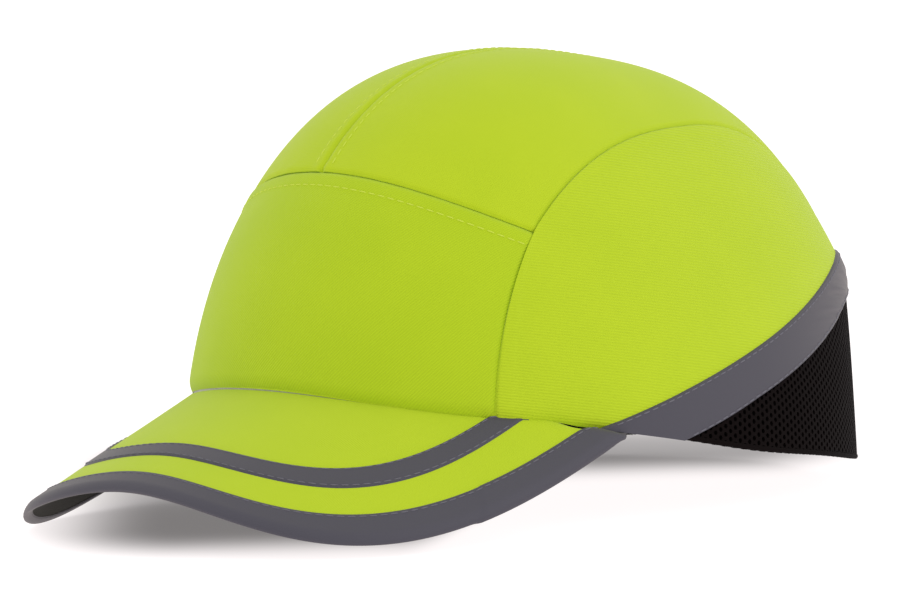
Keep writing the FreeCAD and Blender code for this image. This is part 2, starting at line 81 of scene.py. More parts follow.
CROWN_SIDE = cap_box("rear_mesh")[1][0]
CROWN_TOP = cap_box("crown_panel_left")[1][2]
BRIM_REACH = 48.1 * MM
CROWN_FRONT = -cap_box("brim_binding")[0][1] - BRIM_REACH
CROWN_BACK = 116.6 * MM
RISE_POWER = 2.094
REACH_POWER = 2.593
FRONT_TAPER = -0.041
SIDE_TAPER = 0.2127
BACK_TAPER = 0.1825
BACK_TUCK = 0.1527
TUCK_TOP = 56 * MM
CROWN_MIDDLE = np.array([0, 0, 25 * MM])
LONGEST = 300 * MM


def crown_radius(turn, height, inset=0.0):
    """How far the crown's surface is from its upright axis; turn is 0 at the front, 90 at the left."""
    ahead = np.cos(turn)
    aside = np.sin(turn)
    to_front = ahead > 0
    reach = np.where(to_front, CROWN_FRONT, CROWN_BACK) - inset
    taper = np.where(to_front, FRONT_TAPER, BACK_TAPER)
    climb = np.clip(height / (CROWN_TOP - inset), 0, 1) ** (RISE_POWER / 2)
    radius = 1 / np.hypot(aside / (CROWN_SIDE - inset), ahead / reach)
    radius = radius * (1 - climb**2) ** (1 / REACH_POWER)
    radius = radius * (1 - (taper * ahead**2 + SIDE_TAPER * aside**2) * climb)
    tuck = BACK_TUCK * ahead**2 * (1 - (np.clip(height, 0, TUCK_TOP) / TUCK_TOP) ** 2)
    return np.where(to_front, radius, radius * (1 - tuck))


def cast(origin, direction, inset=0.0):
    """Where lines from inside the crown meet the layer at that inset, found by halving."""
    origin, direction = np.broadcast_arrays(np.asarray(origin, float), np.asarray(direction, float))
    direction = direction / np.linalg.norm(direction, axis=-1, keepdims=True)
    near = np.zeros(direction.shape[:-1])
    far = np.full(direction.shape[:-1], LONGEST)
    for _ in range(36):
        middle = (near + far) / 2
        spot = origin + middle[..., None] * direction
        turn = np.arctan2(spot[..., 0], -spot[..., 1])
        inside = np.hypot(spot[..., 0], spot[..., 1]) < crown_radius(turn, spot[..., 2], inset)
        near = np.where(inside, middle, near)
        far = np.where(inside, far, middle)
    return origin + near[..., None] * direction


def stack(x, y, z):
    return np.stack(np.broadcast_arrays(np.asarray(x, float), y, z), axis=-1)


def front_spot(x, z, inset=0.0):
    return cast(stack(x, 0, z), (0, -1, 0), inset)


def back_spot(x, z, inset=0.0):
    return cast(stack(x, 0, z), (0, 1, 0), inset)


def round_spot(turn, z, inset=0.0):
    radius = crown_radius(turn, z, inset)
    return stack(radius * np.sin(turn), -radius * np.cos(turn), z)


# Sheets: grids of points made into thin closed pieces


def run_length(line):
    """The length of a line up to each of its points."""
    return np.concatenate([[0], np.cumsum(np.linalg.norm(np.diff(line, axis=0), axis=1))])


def resample(line, shares):
    """Points at those shares of a line's length."""
    length = run_length(line)
    return np.stack([np.interp(shares * length[-1], length, line[:, axis]) for axis in range(3)], axis=1)


def spread_shares(count):
    """Shares from 0 to 1 that lie closer together towards both ends, where seams need more points."""
    even = np.linspace(0, 1, count)
    return (even + (1 - np.cos(math.pi * even)) / 2) / 2


def span(bottom, top, left, right, columns, rows):
    """A grid of points between four border lines; bottom and top run from left to right."""
    u = spread_shares(columns)
    v = spread_shares(rows)
    across = [resample(line, u)[:, None] for line in (bottom, top)]
    up = [resample(line, v)[None] for line in (left, right)]
    u = u[:, None, None]
    v = v[None, :, None]
    ruled = (1 - v) * across[0] + v * across[1] + (1 - u) * up[0] + u * up[1]
    corners = (1 - u) * ((1 - v) * bottom[0] + v * top[0]) + u * ((1 - v) * bottom[-1] + v * top[-1])
    return ruled - corners


def lengths(grid, axis):
    """Length along the grid's lines from their start, and to their end."""
    steps = np.linalg.norm(np.diff(grid, axis=axis), axis=-1)
    start = np.zeros_like(np.take(steps, [0], axis=axis))
    so_far = np.concatenate([start, np.cumsum(steps, axis=axis)], axis=axis)
    return so_far, np.take(so_far, [-1], axis=axis) - so_far


class Reach:
    """How far each point of a grid lies from the grid's four borders."""

    def __init__(self, grid):
        self.left, self.right = lengths(grid, 0)
        self.bottom, self.top = lengths(grid, 1)

    def edge(self):
        return np.minimum(np.minimum(self.left, self.right), np.minimum(self.bottom, self.top))


def crown_sheet(borders, columns, rows, depth):
    """Outer points of a panel on the crown; depth gives each point's inset from its Reach."""
    grid = cast(CROWN_MIDDLE, span(*borders, columns, rows) - CROWN_MIDDLE)
    reach = Reach(grid)
    return cast(CROWN_MIDDLE, grid - CROWN_MIDDLE, depth(reach, grid)), reach


def mirrored(points):
    return points * (-1, 1, 1)


def grid_faces(index, flip=False):
    quads = np.stack([index[:-1, :-1], index[1:, :-1], index[1:, 1:], index[:-1, 1:]], axis=-1)
    quads = quads.reshape(-1, 4)
    return quads[:, ::-1] if flip else quads


def two_faced(outer, inner):
    """Points and faces of a closed sheet between two grids of one size."""
    columns, rows = outer.shape[:2]
    front = np.arange(columns * rows).reshape(columns, rows)
    back = front + columns * rows
    loops = []
    for index in (front, back):
        loop = np.concatenate([index[:, 0], index[-1, 1:], index[-2::-1, -1], index[0, -2:0:-1]])
        loops.append(loop)
    rim = np.stack([loops[0], loops[1], np.roll(loops[1], -1), np.roll(loops[0], -1)], axis=-1)
    points = np.concatenate([outer.reshape(-1, 3), inner.reshape(-1, 3)])
    return points, np.concatenate([grid_faces(front), grid_faces(back, flip=True), rim])


def piece(name, points, faces, finish, body, stands_for=(), crease=40, threads=None):
    """A mesh object from points in the cap's frame, on a CAD body, with one material."""
    mesh = bpy.data.meshes.new(name)
    faces = faces.tolist() if isinstance(faces, np.ndarray) else faces
    mesh.from_pydata(to_frame(points).tolist(), [], faces)
    if threads is not None:
        layer = mesh.attributes.new("threads", "FLOAT_VECTOR", "POINT")
        layer.data.foreach_set("vector", np.asarray(threads, np.float32).ravel())
    work = bmesh.new()
    work.from_mesh(mesh)
    bmesh.ops.recalc_face_normals(work, faces=work.faces)
    work.to_mesh(mesh)
    work.free()
    mesh.shade_smooth()
    mesh.set_sharp_from_angle(angle=math.radians(crease))
    mesh.materials.append(finish)
    thing = bpy.data.objects.new(name, mesh)
    bpy.context.scene.collection.objects.link(thing)
    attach(thing, body)
    if stands_for:
        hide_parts(*stands_for)


def sheet_piece(name, outer, inner, finish, body, stands_for=(), threads=None):
    points, faces = two_faced(outer, inner)
    if threads is not None:
        threads = np.concatenate([threads.reshape(-1, 3)] * 2)
    piece(name, points, faces, finish, body, stands_for, threads=threads)


# Materials: every finish is drawn by nodes, in the cap's own millimetres


class Finish:
    """A material under construction: add() makes a node and wires or sets its inputs."""

    def __init__(self, slot):
        self.material = bpy.data.materials.new(slot)
        self.material["slot"] = slot
        self.material.use_nodes = True
        self.tree = self.material.node_tree
        self.tree.nodes.clear()

    def add(self, kind, settings=None, **inputs):
        node = self.tree.nodes.new("ShaderNode" + kind)
        for name, value in (settings or {}).items():
            setattr(node, name, value)
        for name, value in inputs.items():
            key = int(name[2:]) if name.startswith("in") and name[2:].isdigit() else name.replace("_", " ")
            self.put(node.inputs[key], value)
        return node

    def put(self, socket, value):
        if isinstance(value, bpy.types.NodeSocket):
            self.tree.links.new(value, socket)
        elif isinstance(value, tuple) and len(value) == 3 and socket.type == "RGBA":
            socket.default_value = (*value, 1)
        else:
            socket.default_value = value

    def math(self, operation, first, second=0.0):
        return self.add("Math", {"operation": operation}, in0=first, in1=second).outputs[0]

    def mix(self, share, first, second):
        node = self.add("Mix", {"data_type": "RGBA"}, Factor=share)
        self.put(node.inputs[6], first)
        self.put(node.inputs[7], second)
        return node.outputs[2]

    def place(self):
        """Where a point is, in millimetres along the cap's own axes."""
        spot = self.add("TexCoord").outputs["Object"]
        turned = self.add("Mapping", Vector=spot, Rotation=(TILT, 0, 0), Scale=(1 / MM,) * 3)
        return turned.outputs[0]

    def threads(self):
        """Millimetres along and across a cloth piece, written on its points."""
        node = self.add("Attribute", {"attribute_name": "threads"})
        return node.outputs["Vector"]

    def noise(self, vector, scale, detail=2.0):
        return self.add("TexNoise", Vector=vector, Scale=scale, Detail=detail).outputs[0]

    def wave(self, vector, pitch, axis="X", sway=0.0):
        """Ridges of that pitch in millimetres, from 0 to 1; a wave texture's own period is pi/10."""
        scale = math.pi / 10 / pitch
        ridges = self.add("TexWave", {"bands_direction": axis}, Vector=vector, Scale=scale, Distortion=sway)
        return ridges.outputs[1]

    def done(self, colour, roughness, height=None, depth=0.1, sheen=0.0, **more):
        """Ends the material: a plain surface with a bump of depth millimetres."""
        shader = self.add("BsdfPrincipled", Base_Color=colour, Roughness=roughness, **more)
        if sheen:
            shader.inputs["Sheen Weight"].default_value = sheen
            shader.inputs["Sheen Roughness"].default_value = 0.5
        if height is not None:
            bump = self.add("Bump", Strength=1.0, Distance=depth * MM, Height=height)
            self.tree.links.new(bump.outputs[0], shader.inputs["Normal"])
        self.add("OutputMaterial", Surface=shader.outputs[0])
        return self.material


def srgb(red, green, blue):
    """Linear light from the 0 to 255 numbers of a screen colour."""
    shares = [level / 255 for level in (red, green, blue)]
    return tuple(s / 12.92 if s <= 0.04045 else ((s + 0.055) / 1.055) ** 2.4 for s in shares)


def yellow_cloth(slot, bright, dark, cloth, depth):
    """Fluorescent cloth: two close greens mixed by a soft noise, and a weave from cloth()."""
    finish = Finish(slot)
    weave = cloth(finish)
    patch = finish.noise(finish.place(), 0.05, 3.0)
    colour = finish.mix(patch, bright, dark)
    colour = finish.mix(finish.math("MULTIPLY", weave, 0.35), colour, tuple(c * 0.8 for c in dark))
    return finish.done(colour, 0.75, weave, depth, sheen=0.12, Specular_IOR_Level=0.2)


def twill_weave(finish):
    along = finish.add("Mapping", Vector=finish.threads(), Rotation=(0, 0, math.radians(38))).outputs[0]
    return finish.wave(along, 0.75)


def plain_weave(finish):
    along = finish.threads()
    warp = finish.wave(along, 0.55, "X")
    weft = finish.wave(along, 0.55, "Y")
    return finish.math("MULTIPLY", warp, weft)


def tricot_weave(finish):
    along = finish.threads()
    rib = finish.wave(along, 0.8, "Y", sway=0.6)
    broken = finish.noise(finish.add("Mapping", Vector=along, Scale=(0.35, 2.2, 1)).outputs[0], 1.0)
    return finish.math("MULTIPLY", rib, finish.math("ADD", broken, 0.45))


FRONT_YELLOW = yellow_cloth("hi_vis_twill", srgb(179, 204, 24), srgb(170, 197, 18), twill_weave, 0.06)
TOP_YELLOW = yellow_cloth("hi_vis_woven", srgb(183, 204, 26), srgb(175, 199, 20), plain_weave, 0.04)
SIDE_YELLOW = yellow_cloth("hi_vis_tricot", srgb(184, 206, 30), srgb(175, 200, 24), tricot_weave, 0.07)


def reflective_tape():
    """Silver reflective tape: grey face on, and paler and warmer where it turns away, which is a painted sheen."""
    finish = Finish("reflective_tape")
    facing = finish.add("LayerWeight", Blend=0.35).outputs["Facing"]
    grain = finish.noise(finish.threads(), 2.2, 4.0)
    # painted sheen: towards grazing angles the grey is mixed into a paler, warmer grey
    turned = finish.math("POWER", facing, 2.2)
    colour = finish.mix(turned, srgb(69, 67, 77), srgb(119, 112, 108))
    colour = finish.mix(finish.math("MULTIPLY", grain, 0.35), colour, srgb(62, 60, 68))
    height = finish.noise(finish.threads(), 3.0, 2.0)
    return finish.done(colour, 0.55, height, 0.03, Specular_IOR_Level=0.35)


def plain_cloth(slot, colour, pitch, depth=0.08, roughness=0.85, sheen=0.2, gloss=0.25):
    """Woven tape, label or lining cloth of one colour."""
    finish = Finish(slot)
    place = finish.place()
    weave = finish.math("MULTIPLY", finish.wave(place, pitch, "X"), finish.wave(place, pitch, "Z"))
    shade = finish.mix(finish.noise(place, 0.3, 3.0), colour, tuple(c * 0.7 for c in colour))
    return finish.done(shade, roughness, weave, depth, sheen=sheen, Specular_IOR_Level=gloss)


def fuzzy(slot, colour, scale, depth):
    """Terry, foam or loop tape: a lumpy surface without direction."""
    finish = Finish(slot)
    place = finish.place()
    lump = finish.add("TexVoronoi", Vector=place, Scale=scale).outputs[0]
    shade = finish.mix(lump, tuple(c * 0.6 for c in colour), colour)
    return finish.done(shade, 0.95, lump, depth, sheen=0.4, Specular_IOR_Level=0.1)


def plastic(slot, colour, roughness):
    finish = Finish(slot)
    pits = finish.noise(finish.place(), 1.5, 3.0)
    return finish.done(colour, roughness, pits, 0.05, Specular_IOR_Level=0.4)


TAPE = reflective_tape()
MESH = plain_cloth("spacer_mesh", srgb(15, 8, 8), 0.5, 0.04, 0.9, 0.015, 0.05)
BLACK_TAPE = plain_cloth("black_tape", srgb(26, 22, 22), 0.8, sheen=0.05)
BUCKRAM = plain_cloth("buckram", srgb(206, 206, 196), 1.2)
SEAM_TAPE = plain_cloth("seam_tape", srgb(44, 42, 43), 0.6)
LABEL = plain_cloth("label_satin", srgb(226, 226, 222), 0.3, 0.02, 0.5)
TERRY = fuzzy("terry_band", srgb(48, 46, 47), 1.1, 0.35)
BOARD = plastic("brim_board", srgb(60, 60, 58), 0.6)
UNDERSIDE = plain_cloth("brim_underside", srgb(28, 24, 10), 0.5, 0.04, sheen=0.03)
SHELL = plastic("shell_plastic", srgb(32, 32, 34), 0.42)
RUBBER = plastic("edge_rubber", srgb(24, 24, 25), 0.7)
FOAM = fuzzy("pad_foam", srgb(58, 58, 60), 1.6, 0.15)
WEBBING = plain_cloth("webbing", srgb(40, 38, 39), 1.1, 0.15)
HOOKS = fuzzy("hook_tape", srgb(30, 30, 31), 1.4, 0.4)
LOOPS = fuzzy("loop_tape", srgb(36, 35, 36), 2.0, 0.3)


def thread(slot, colour):
    """Twisted sewing thread; it takes its slot from the cloth that it holds."""
    finish = Finish(slot)
    return finish.done(colour, 0.6, finish.noise(finish.place(), 6.0), 0.04, Specular_IOR_Level=0.4)


YELLOW_THREAD = thread("hi_vis_woven", srgb(196, 214, 62))
GREY_THREAD = thread("reflective_tape", srgb(100, 98, 108))
BLACK_THREAD = thread("black_tape", srgb(30, 29, 30))

for node, finish in {
    "front_stiffener": BUCKRAM,
    "front_seam_tape": SEAM_TAPE,
    "centre_seam_tape": SEAM_TAPE,
    "side_seam_tape_left": SEAM_TAPE,
    "side_seam_tape_right": SEAM_TAPE,
    "care_label": LABEL,
    "bump_shell": SHELL,
    "shell_edge_trim": RUBBER,
    "crown_loop_patch": LOOPS,
    "shell_hook_patch": HOOKS,
    "loop_patch": LOOPS,
    "hook_patch": HOOKS,
}.items():
    mesh = frame["nodes"][node].data
    mesh.materials.clear()
    mesh.materials.append(finish)
    mesh.shade_smooth()
    mesh.set_sharp_from_angle(angle=math.radians(30))


# The seams, the arched tape and the brim, within a few millimetres of where the part has them

FRONT_HALF = 61.3 * MM
FRONT_LEAN = 0.0768
CORNER_HEIGHT = 52.8 * MM
CORNER_HALF = FRONT_HALF - FRONT_LEAN * CORNER_HEIGHT
FRONT_ARC = 141 * MM
SEAM_FRONT = 61.8 * MM
SEAM_BACK = 18.3 * MM
SEAM_REACH = 130 * MM
SEAM_BOW = 7.3 * MM
ARCH_ANGLE = math.radians(26.9)
ARCH_MIDDLE = 28.1 * MM
ARCH_LEVEL = 61.5 * MM
ARCH_RADIUS = 60 * MM
ARCH_TAPE = 12 * MM
BRIM_HALF = 83 * MM
BRIM_END = 46.1 * MM
BRIM_POWER = 2.88
BRIM_FALL = 0.6136
BRIM_ARCH = 5.57
BRIM_TAPE = 6.5 * MM
BRIM_TOP = 1.6 * MM
COVER_TOP = 1.15 * MM
UNDER_TAPE = ARCH_TAPE / 2

# The brim's ends dip, thin and turn in under the hem, and its right side sags
DIVE_LEVEL = -1.5 * MM
DIVE_SOFT = 0.5 * MM
DIVE_START = 70 * MM
DIVE_RUN = 10 * MM
SAG = 4.6 * MM
SAG_START = 50 * MM
SAG_AHEAD = 60 * MM
SAG_RUN = 30 * MM
END_RISE = 1.3 * MM
END_PRESS = 0.65
PRESS_RUN = 12 * MM
END_TUCK = 3.5 * MM
TUCK_RUN = 4.5 * MM

# The hem hangs lower behind the brim's ends, and is drawn up at its back corners
HEM_SAG = 1.2 * MM
HEM_SAG_TURN = math.radians(88)
HEM_SAG_WIDTH = math.radians(17)
HEM_SAG_FADE = 14 * MM
LEFT_LIFT = 1.2 * MM
RIGHT_LIFT = 3.2 * MM
CORNER_SPREAD = 34 * MM
CORNER_FADE = 40 * MM
OPENING_HALF = 42 * MM
CORNER = (OPENING_HALF, back_spot(OPENING_HALF, 0)[1])
FINE = 200


def ease(value):
    """A smooth step from 0 to 1."""
    share = np.clip(value, 0, 1)
    return share**2 * (3 - 2 * share)


def quarter_round(distance, width):
    """From 0 on an edge up to 1 at that width inside it, along a quarter of a circle."""
    return np.sqrt(1 - (1 - np.clip(distance / width, 0, 1)) ** 2)


def signed_power(value, power):
    return np.sign(value) * np.abs(value) ** power


def brim_height(x, y):
    """The brim's face: it falls to the front, arches, dives under the hem and sags on the right."""
    plain = (y + CROWN_FRONT) * BRIM_FALL - BRIM_ARCH * x**2
    over_hem = np.logaddexp(0, (plain - DIVE_LEVEL) / DIVE_SOFT) * DIVE_SOFT
    plain = plain - over_hem * ease((y + DIVE_START) / DIVE_RUN)
    plain = plain + END_RISE * ease((y + BRIM_END + TUCK_RUN) / TUCK_RUN)
    return plain - SAG * ease((-x - SAG_START) / SAG_RUN) * ease((-y - SAG_AHEAD) / SAG_RUN)


def on_brim_edge(spot_of, along):
    """Where the crown's front meets the brim's top, for a spot function of one place and a height."""
    height = np.zeros_like(along)
    for _ in range(8):
        spot = spot_of(along, height)
        height = brim_height(spot[:, 0], spot[:, 1]) + COVER_TOP + 0.2 * MM
    return spot_of(along, height)


def front_arc(x):
    return CORNER_HEIGHT + np.sqrt(FRONT_ARC**2 - x**2) - math.sqrt(FRONT_ARC**2 - CORNER_HALF**2)


def seam_x(y):
    """The side seam in plan: a slightly bowed line that closes in towards the back."""
    slope = (SEAM_BACK - SEAM_FRONT) / (2 * SEAM_REACH)
    return SEAM_FRONT + slope * (y + SEAM_REACH) + SEAM_BOW * (1 - (y / SEAM_REACH) ** 2)


def arch_height(y, drop=0.0):
    """The side view of a line drop below the arched tape's upper edge."""
    middle = ARCH_MIDDLE - drop / math.cos(ARCH_ANGLE)
    level = ARCH_LEVEL - drop
    radius = ARCH_RADIUS + drop
    corner = (level - middle) / math.tan(ARCH_ANGLE)
    tangent = radius * math.tan(ARCH_ANGLE / 2)
    bend = level - radius + np.sqrt(np.maximum(radius**2 - (y - corner - tangent) ** 2, 0))
    line = middle + y * math.tan(ARCH_ANGLE)
    first = corner - tangent * math.cos(ARCH_ANGLE)
    return np.where(y < first, line, np.where(y > corner + tangent, level, bend))


def arch_line(turns, drop):
    """Points of the crown on that line, for turns from the front round the left to the back."""
    height = np.zeros_like(turns)
    for _ in range(30):
        height = np.maximum(arch_height(-crown_radius(turns, height) * np.cos(turns), drop), 0)
    return round_spot(turns, height)


def hung(points):
    """Points of the crown moved by the hem's sag and lift."""
    x, y, z = (points[..., axis] for axis in range(3))
    turn = np.arctan2(np.abs(x), -y)
    sag = np.exp(-(((turn - HEM_SAG_TURN) / HEM_SAG_WIDTH) ** 2)) * np.clip(1 - z / HEM_SAG_FADE, 0, 1)
    apart = np.hypot(np.abs(x) - CORNER[0], y - CORNER[1])
    lift = np.exp(-((apart / CORNER_SPREAD) ** 2)) * np.clip(1 - z / CORNER_FADE, 0, 1)
    lift = lift * np.where(x < 0, RIGHT_LIFT, LEFT_LIFT)
    return points + stack(0 * x, 0 * x, lift - HEM_SAG * sag)


def arch_start(drop):
    """The turn at which the line leaves the hem."""
    y = (drop / math.cos(ARCH_ANGLE) - ARCH_MIDDLE) / math.tan(ARCH_ANGLE)
    turns = np.linspace(math.radians(45), math.radians(120), 2000)
    return np.interp(y, -crown_radius(turns, 0) * np.cos(turns), turns)


def seam_line(start, end):
    y = np.linspace(start, end, FINE)
    return cast(stack(seam_x(y), y, 40 * MM), (0, 0, 1))


corner_spot = front_spot(CORNER_HALF, CORNER_HEIGHT)
seam_probe = seam_line(0, 94 * MM)
above_tape = seam_probe[:, 2] - arch_height(seam_probe[:, 1], UNDER_TAPE)
seam_end = np.interp(0, -above_tape, seam_probe[:, 1])
side_seam = seam_line(corner_spot[1], seam_end)
side_seam[0] = corner_spot
seam_end_turn = np.arctan2(side_seam[-1, 0], -side_seam[-1, 1])

half_x = np.linspace(0, CORNER_HALF, FINE)
top_line = front_spot(half_x, front_arc(half_x))
top_line[-1] = corner_spot
brim_x = np.linspace(-FRONT_HALF, FRONT_HALF, FINE)
brim_line = on_brim_edge(front_spot, brim_x)
edge_z = np.linspace(brim_line[-1, 2], CORNER_HEIGHT, FINE)
front_edge = front_spot(FRONT_HALF - FRONT_LEAN * edge_z, edge_z)
front_edge[0] = brim_line[-1]
front_edge[-1] = corner_spot


def gathered(reach, grid):
    """Small ripples that fade away from a seam."""
    along = grid[..., 0] * 0.7 + grid[..., 1] + grid[..., 2] * 0.6
    return np.sin(along / (1.15 * MM)) * np.sin(along / (3.7 * MM) + 1) * np.exp(-reach / (3.5 * MM))


def slack(grid):
    """A few long soft hollows, so that the cloth isn't drawn perfectly tight."""
    x, y, z = (grid[..., axis] / MM for axis in range(3))
    return np.sin(x / 19 + y / 31) * np.sin(z / 17 - y / 43 + 1.3) + 0.6 * np.sin(x / 11 - z / 13 + y / 23)


def groove(distance, depth=0.9 * MM, width=0.8 * MM):
    return depth * np.exp(-((distance / width) ** 2))


def allowance(distance, width, height=0.3 * MM):
    """The raised band over a folded seam allowance, from the seam to its line of stitches."""
    return height * np.clip(distance / (1 * MM), 0, 1) / (1 + np.exp((distance - width) / (0.35 * MM)))


FABRIC = 1.25 * MM
TOP_STITCH = 4.8 * MM
CENTRE_STITCH = 3.2 * MM
SIDE_ALLOWANCE = 6 * MM
CURL = 4.5 * MM


def front_depth(reach, grid):
    hem = np.clip(1 - reach.bottom / CURL, 0, 1)
    depth = groove(reach.top) + groove(reach.left, 0.6 * MM) + groove(reach.right, 0.6 * MM)
    depth -= allowance(reach.top, TOP_STITCH)
    depth += 1.5 * MM * hem**2
    depth += 0.06 * MM * gathered(reach.top, grid) + 0.12 * MM * slack(grid)
    return depth


def crown_depth(reach, grid):
    depth = groove(reach.bottom, 0.5 * MM) + groove(reach.top, 0.6 * MM)
    depth += groove(reach.left, 0.6 * MM)
    depth -= allowance(reach.bottom, CENTRE_STITCH, 0.25 * MM)
    depth += 0.07 * MM * gathered(np.minimum(reach.bottom, reach.left), grid)
    depth += 0.16 * MM * slack(grid)
    return depth


def side_depth(reach, grid):
    hem = np.clip(1 - reach.bottom / CURL, 0, 1)
    depth = groove(reach.top, 0.7 * MM) + groove(reach.left, 0.7 * MM)
    depth -= allowance(np.minimum(reach.top, reach.left), SIDE_ALLOWANCE, 0.2 * MM)
    depth += 1.2 * MM * hem**2
    depth += 0.05 * MM * gathered(reach.top, grid) + 0.16 * MM * slack(grid)
    return depth


def cloth_threads(reach):
    return np.stack([reach.left / MM, reach.bottom / MM, reach.left * 0], axis=-1)


def panel(name, borders, columns, rows, depth, finish, node, threads_of=None, mirror=False):
    """A cloth panel of the crown, in place of its CAD node."""
    outer, reach = crown_sheet(borders, columns, rows, depth)
    inner = cast(CROWN_MIDDLE, outer - CROWN_MIDDLE, FABRIC)
    outer = hung(outer)
    inner = hung(inner)
    threads = threads_of(reach, outer) if threads_of else cloth_threads(reach)
    turn = mirrored if mirror else (lambda points: points)
    sheet_piece(name, turn(outer), turn(inner), finish, "cap", (node,), threads)
    return turn(outer), reach


full_top = np.concatenate([mirrored(top_line)[:0:-1], top_line])
front_cloth = panel(
    "front_panel_cloth",
    (brim_line, full_top, mirrored(front_edge), front_edge),
    130, 76, front_depth, FRONT_YELLOW, "front_panel",
)

fan = np.linspace(0, 1, FINE)
fan_middle = np.array([0, 0, 40 * MM])
tape_top = arch_line(np.linspace(math.pi, seam_end_turn, FINE), UNDER_TAPE)
tape_top[-1] = side_seam[-1]
angles = [math.atan2(spot[2] - fan_middle[2], -spot[1]) for spot in (top_line[0], tape_top[0])]
fan_angle = angles[0] + (angles[1] - angles[0]) * fan
centre_seam = cast(fan_middle, stack(0, -np.cos(fan_angle), np.sin(fan_angle)))
side_bottom_turns = np.linspace(
    math.atan2(brim_line[-1, 0], -brim_line[-1, 1]), arch_start(UNDER_TAPE), FINE
)
side_bottom = on_brim_edge(round_spot, side_bottom_turns)
side_bottom[0] = brim_line[-1]
hem_blend = (side_bottom_turns - side_bottom_turns[0]) / np.ptp(side_bottom_turns)
side_bottom = round_spot(side_bottom_turns, side_bottom[:, 2] * (1 - hem_blend**6))
tape_side = arch_line(np.linspace(arch_start(UNDER_TAPE), seam_end_turn, FINE), UNDER_TAPE)
tape_side[-1] = side_seam[-1]
tape_side[0] = side_bottom[-1]


def rib_threads(reach, grid):
    """Ribs that run level round the side."""
    return np.stack([reach.left / MM, grid[..., 2] / MM, reach.left * 0], axis=-1)


crown_cloth = {}
side_cloth = {}
for side, mirror in (("left", False), ("right", True)):
    crown_cloth[side] = panel(
        f"crown_panel_{side}_cloth",
        (centre_seam, side_seam, top_line, tape_top),
        210, 64, crown_depth, TOP_YELLOW, f"crown_panel_{side}", mirror=mirror,
    )
    side_cloth[side] = panel(
        f"side_panel_{side}_cloth",
        (side_bottom, side_seam, front_edge, tape_side),
        150, 96, side_depth, SIDE_YELLOW, f"side_panel_{side}", rib_threads, mirror,
    )


# The arched reflective tape

TAPE_RISE = 0.85 * MM


def tape_profile(reach, width=0.9 * MM):
    """Full height in the tape's middle, rounded down at its long edges."""
    return quarter_round(np.minimum(reach.bottom, reach.top), width)


def tape_creases(grid, reach):
    """Soft creases across the tape, where it turns the back of the cap."""
    turn = np.arctan2(np.abs(grid[..., 0]), -grid[..., 1])
    here = np.exp(-(((np.degrees(turn) - 130) / 14) ** 2))
    along = reach.left + 0.5 * reach.bottom
    ripple = np.sin(along / (1.3 * MM)) + 0.7 * np.sin(along / (2.3 * MM) + 0.8)
    return here * ripple * np.sin(math.pi * np.clip(reach.bottom / ARCH_TAPE, 0, 1))


def tape_depth(reach, grid):
    return -TAPE_RISE * tape_profile(reach) + 0.1 * MM - 0.3 * MM * tape_creases(grid, reach)


lower_turns = np.linspace(arch_start(ARCH_TAPE), 2 * math.pi - arch_start(ARCH_TAPE), 2 * FINE)
upper_turns = np.linspace(arch_start(0), 2 * math.pi - arch_start(0), 2 * FINE)
tape_lower = arch_line(lower_turns, ARCH_TAPE)
tape_upper = arch_line(upper_turns, 0)
tape_end = round_spot(np.linspace(arch_start(ARCH_TAPE), arch_start(0), FINE), np.zeros(FINE))
outer, reach = crown_sheet(
    (tape_lower, tape_upper, tape_end, mirrored(tape_end)), 420, 22, tape_depth
)
inner = hung(cast(CROWN_MIDDLE, outer - CROWN_MIDDLE, -0.02 * MM))
outer = hung(outer)
sheet_piece("arch_tape_strip", outer, inner, TAPE, "cap", ("arch_tape",), cloth_threads(reach))
arch_strip = (outer, reach)


# The mesh behind the ears: a sheet of hexagon cells, each with a hole through it

OPENING_STRAIGHT = 22 * MM
OPENING_ARC = 24 * MM
OPENING_TAPE = 5 * MM
MESH_PITCH = 2.15 * MM
HOLE_SHARE = 0.56
MESH_IN = 1.1 * MM
HEM_ROLL = 1.6 * MM


def opening_share(x, z, grow):
    """Below 1 inside the half-moon opening grown by that much."""
    half = OPENING_HALF + grow
    rise = np.maximum(z - OPENING_STRAIGHT, 0) / (OPENING_ARC + grow)
    return np.hypot(x / half, rise)


def hex_sheet(inside, width, height, pitch):
    """Corner and hole points of hexagon cells whose middles pass inside(along, up)."""
    columns = np.arange(int(width / (pitch * math.sqrt(3) / 2)) + 2)
    rows = np.arange(int(height / pitch) + 2)
    along = (columns[:, None] * pitch * math.sqrt(3) / 2 + 0 * rows[None]).ravel()
    up = ((rows[None] + 0.5 * (columns[:, None] % 2)) * pitch).ravel()
    keep = inside(along, up)
    middles = np.stack([along[keep], up[keep]], axis=1)
    angle = np.radians(60 * np.arange(6))
    ring = np.stack([np.cos(angle), np.sin(angle)], axis=1) * pitch / math.sqrt(3)
    corners = middles[:, None] + ring[None]
    holes = middles[:, None] + ring[None] * HOLE_SHARE
    return corners, holes


def merged(points, faces, fine=0.01 * MM):
    """The same faces on points with doubles removed."""
    keys = np.round(points / fine).astype(np.int64)
    _, first, place = np.unique(keys, axis=0, return_index=True, return_inverse=True)
    return points[first], place.reshape(-1)[faces]


def cell_faces(count):
    """Faces of closed hexagon rings; each cell has 6 corners and 6 hole points on both sides."""
    faces = []
    for side in range(6):
        ahead = (side + 1) % 6
        faces.append((side, ahead, 6 + ahead, 6 + side))
        faces.append((12 + side, 18 + side, 18 + ahead, 12 + ahead))
        faces.append((6 + side, 6 + ahead, 18 + ahead, 18 + side))
    return (np.array(faces)[None] + 24 * np.arange(count)[:, None, None]).reshape(-1, 4)


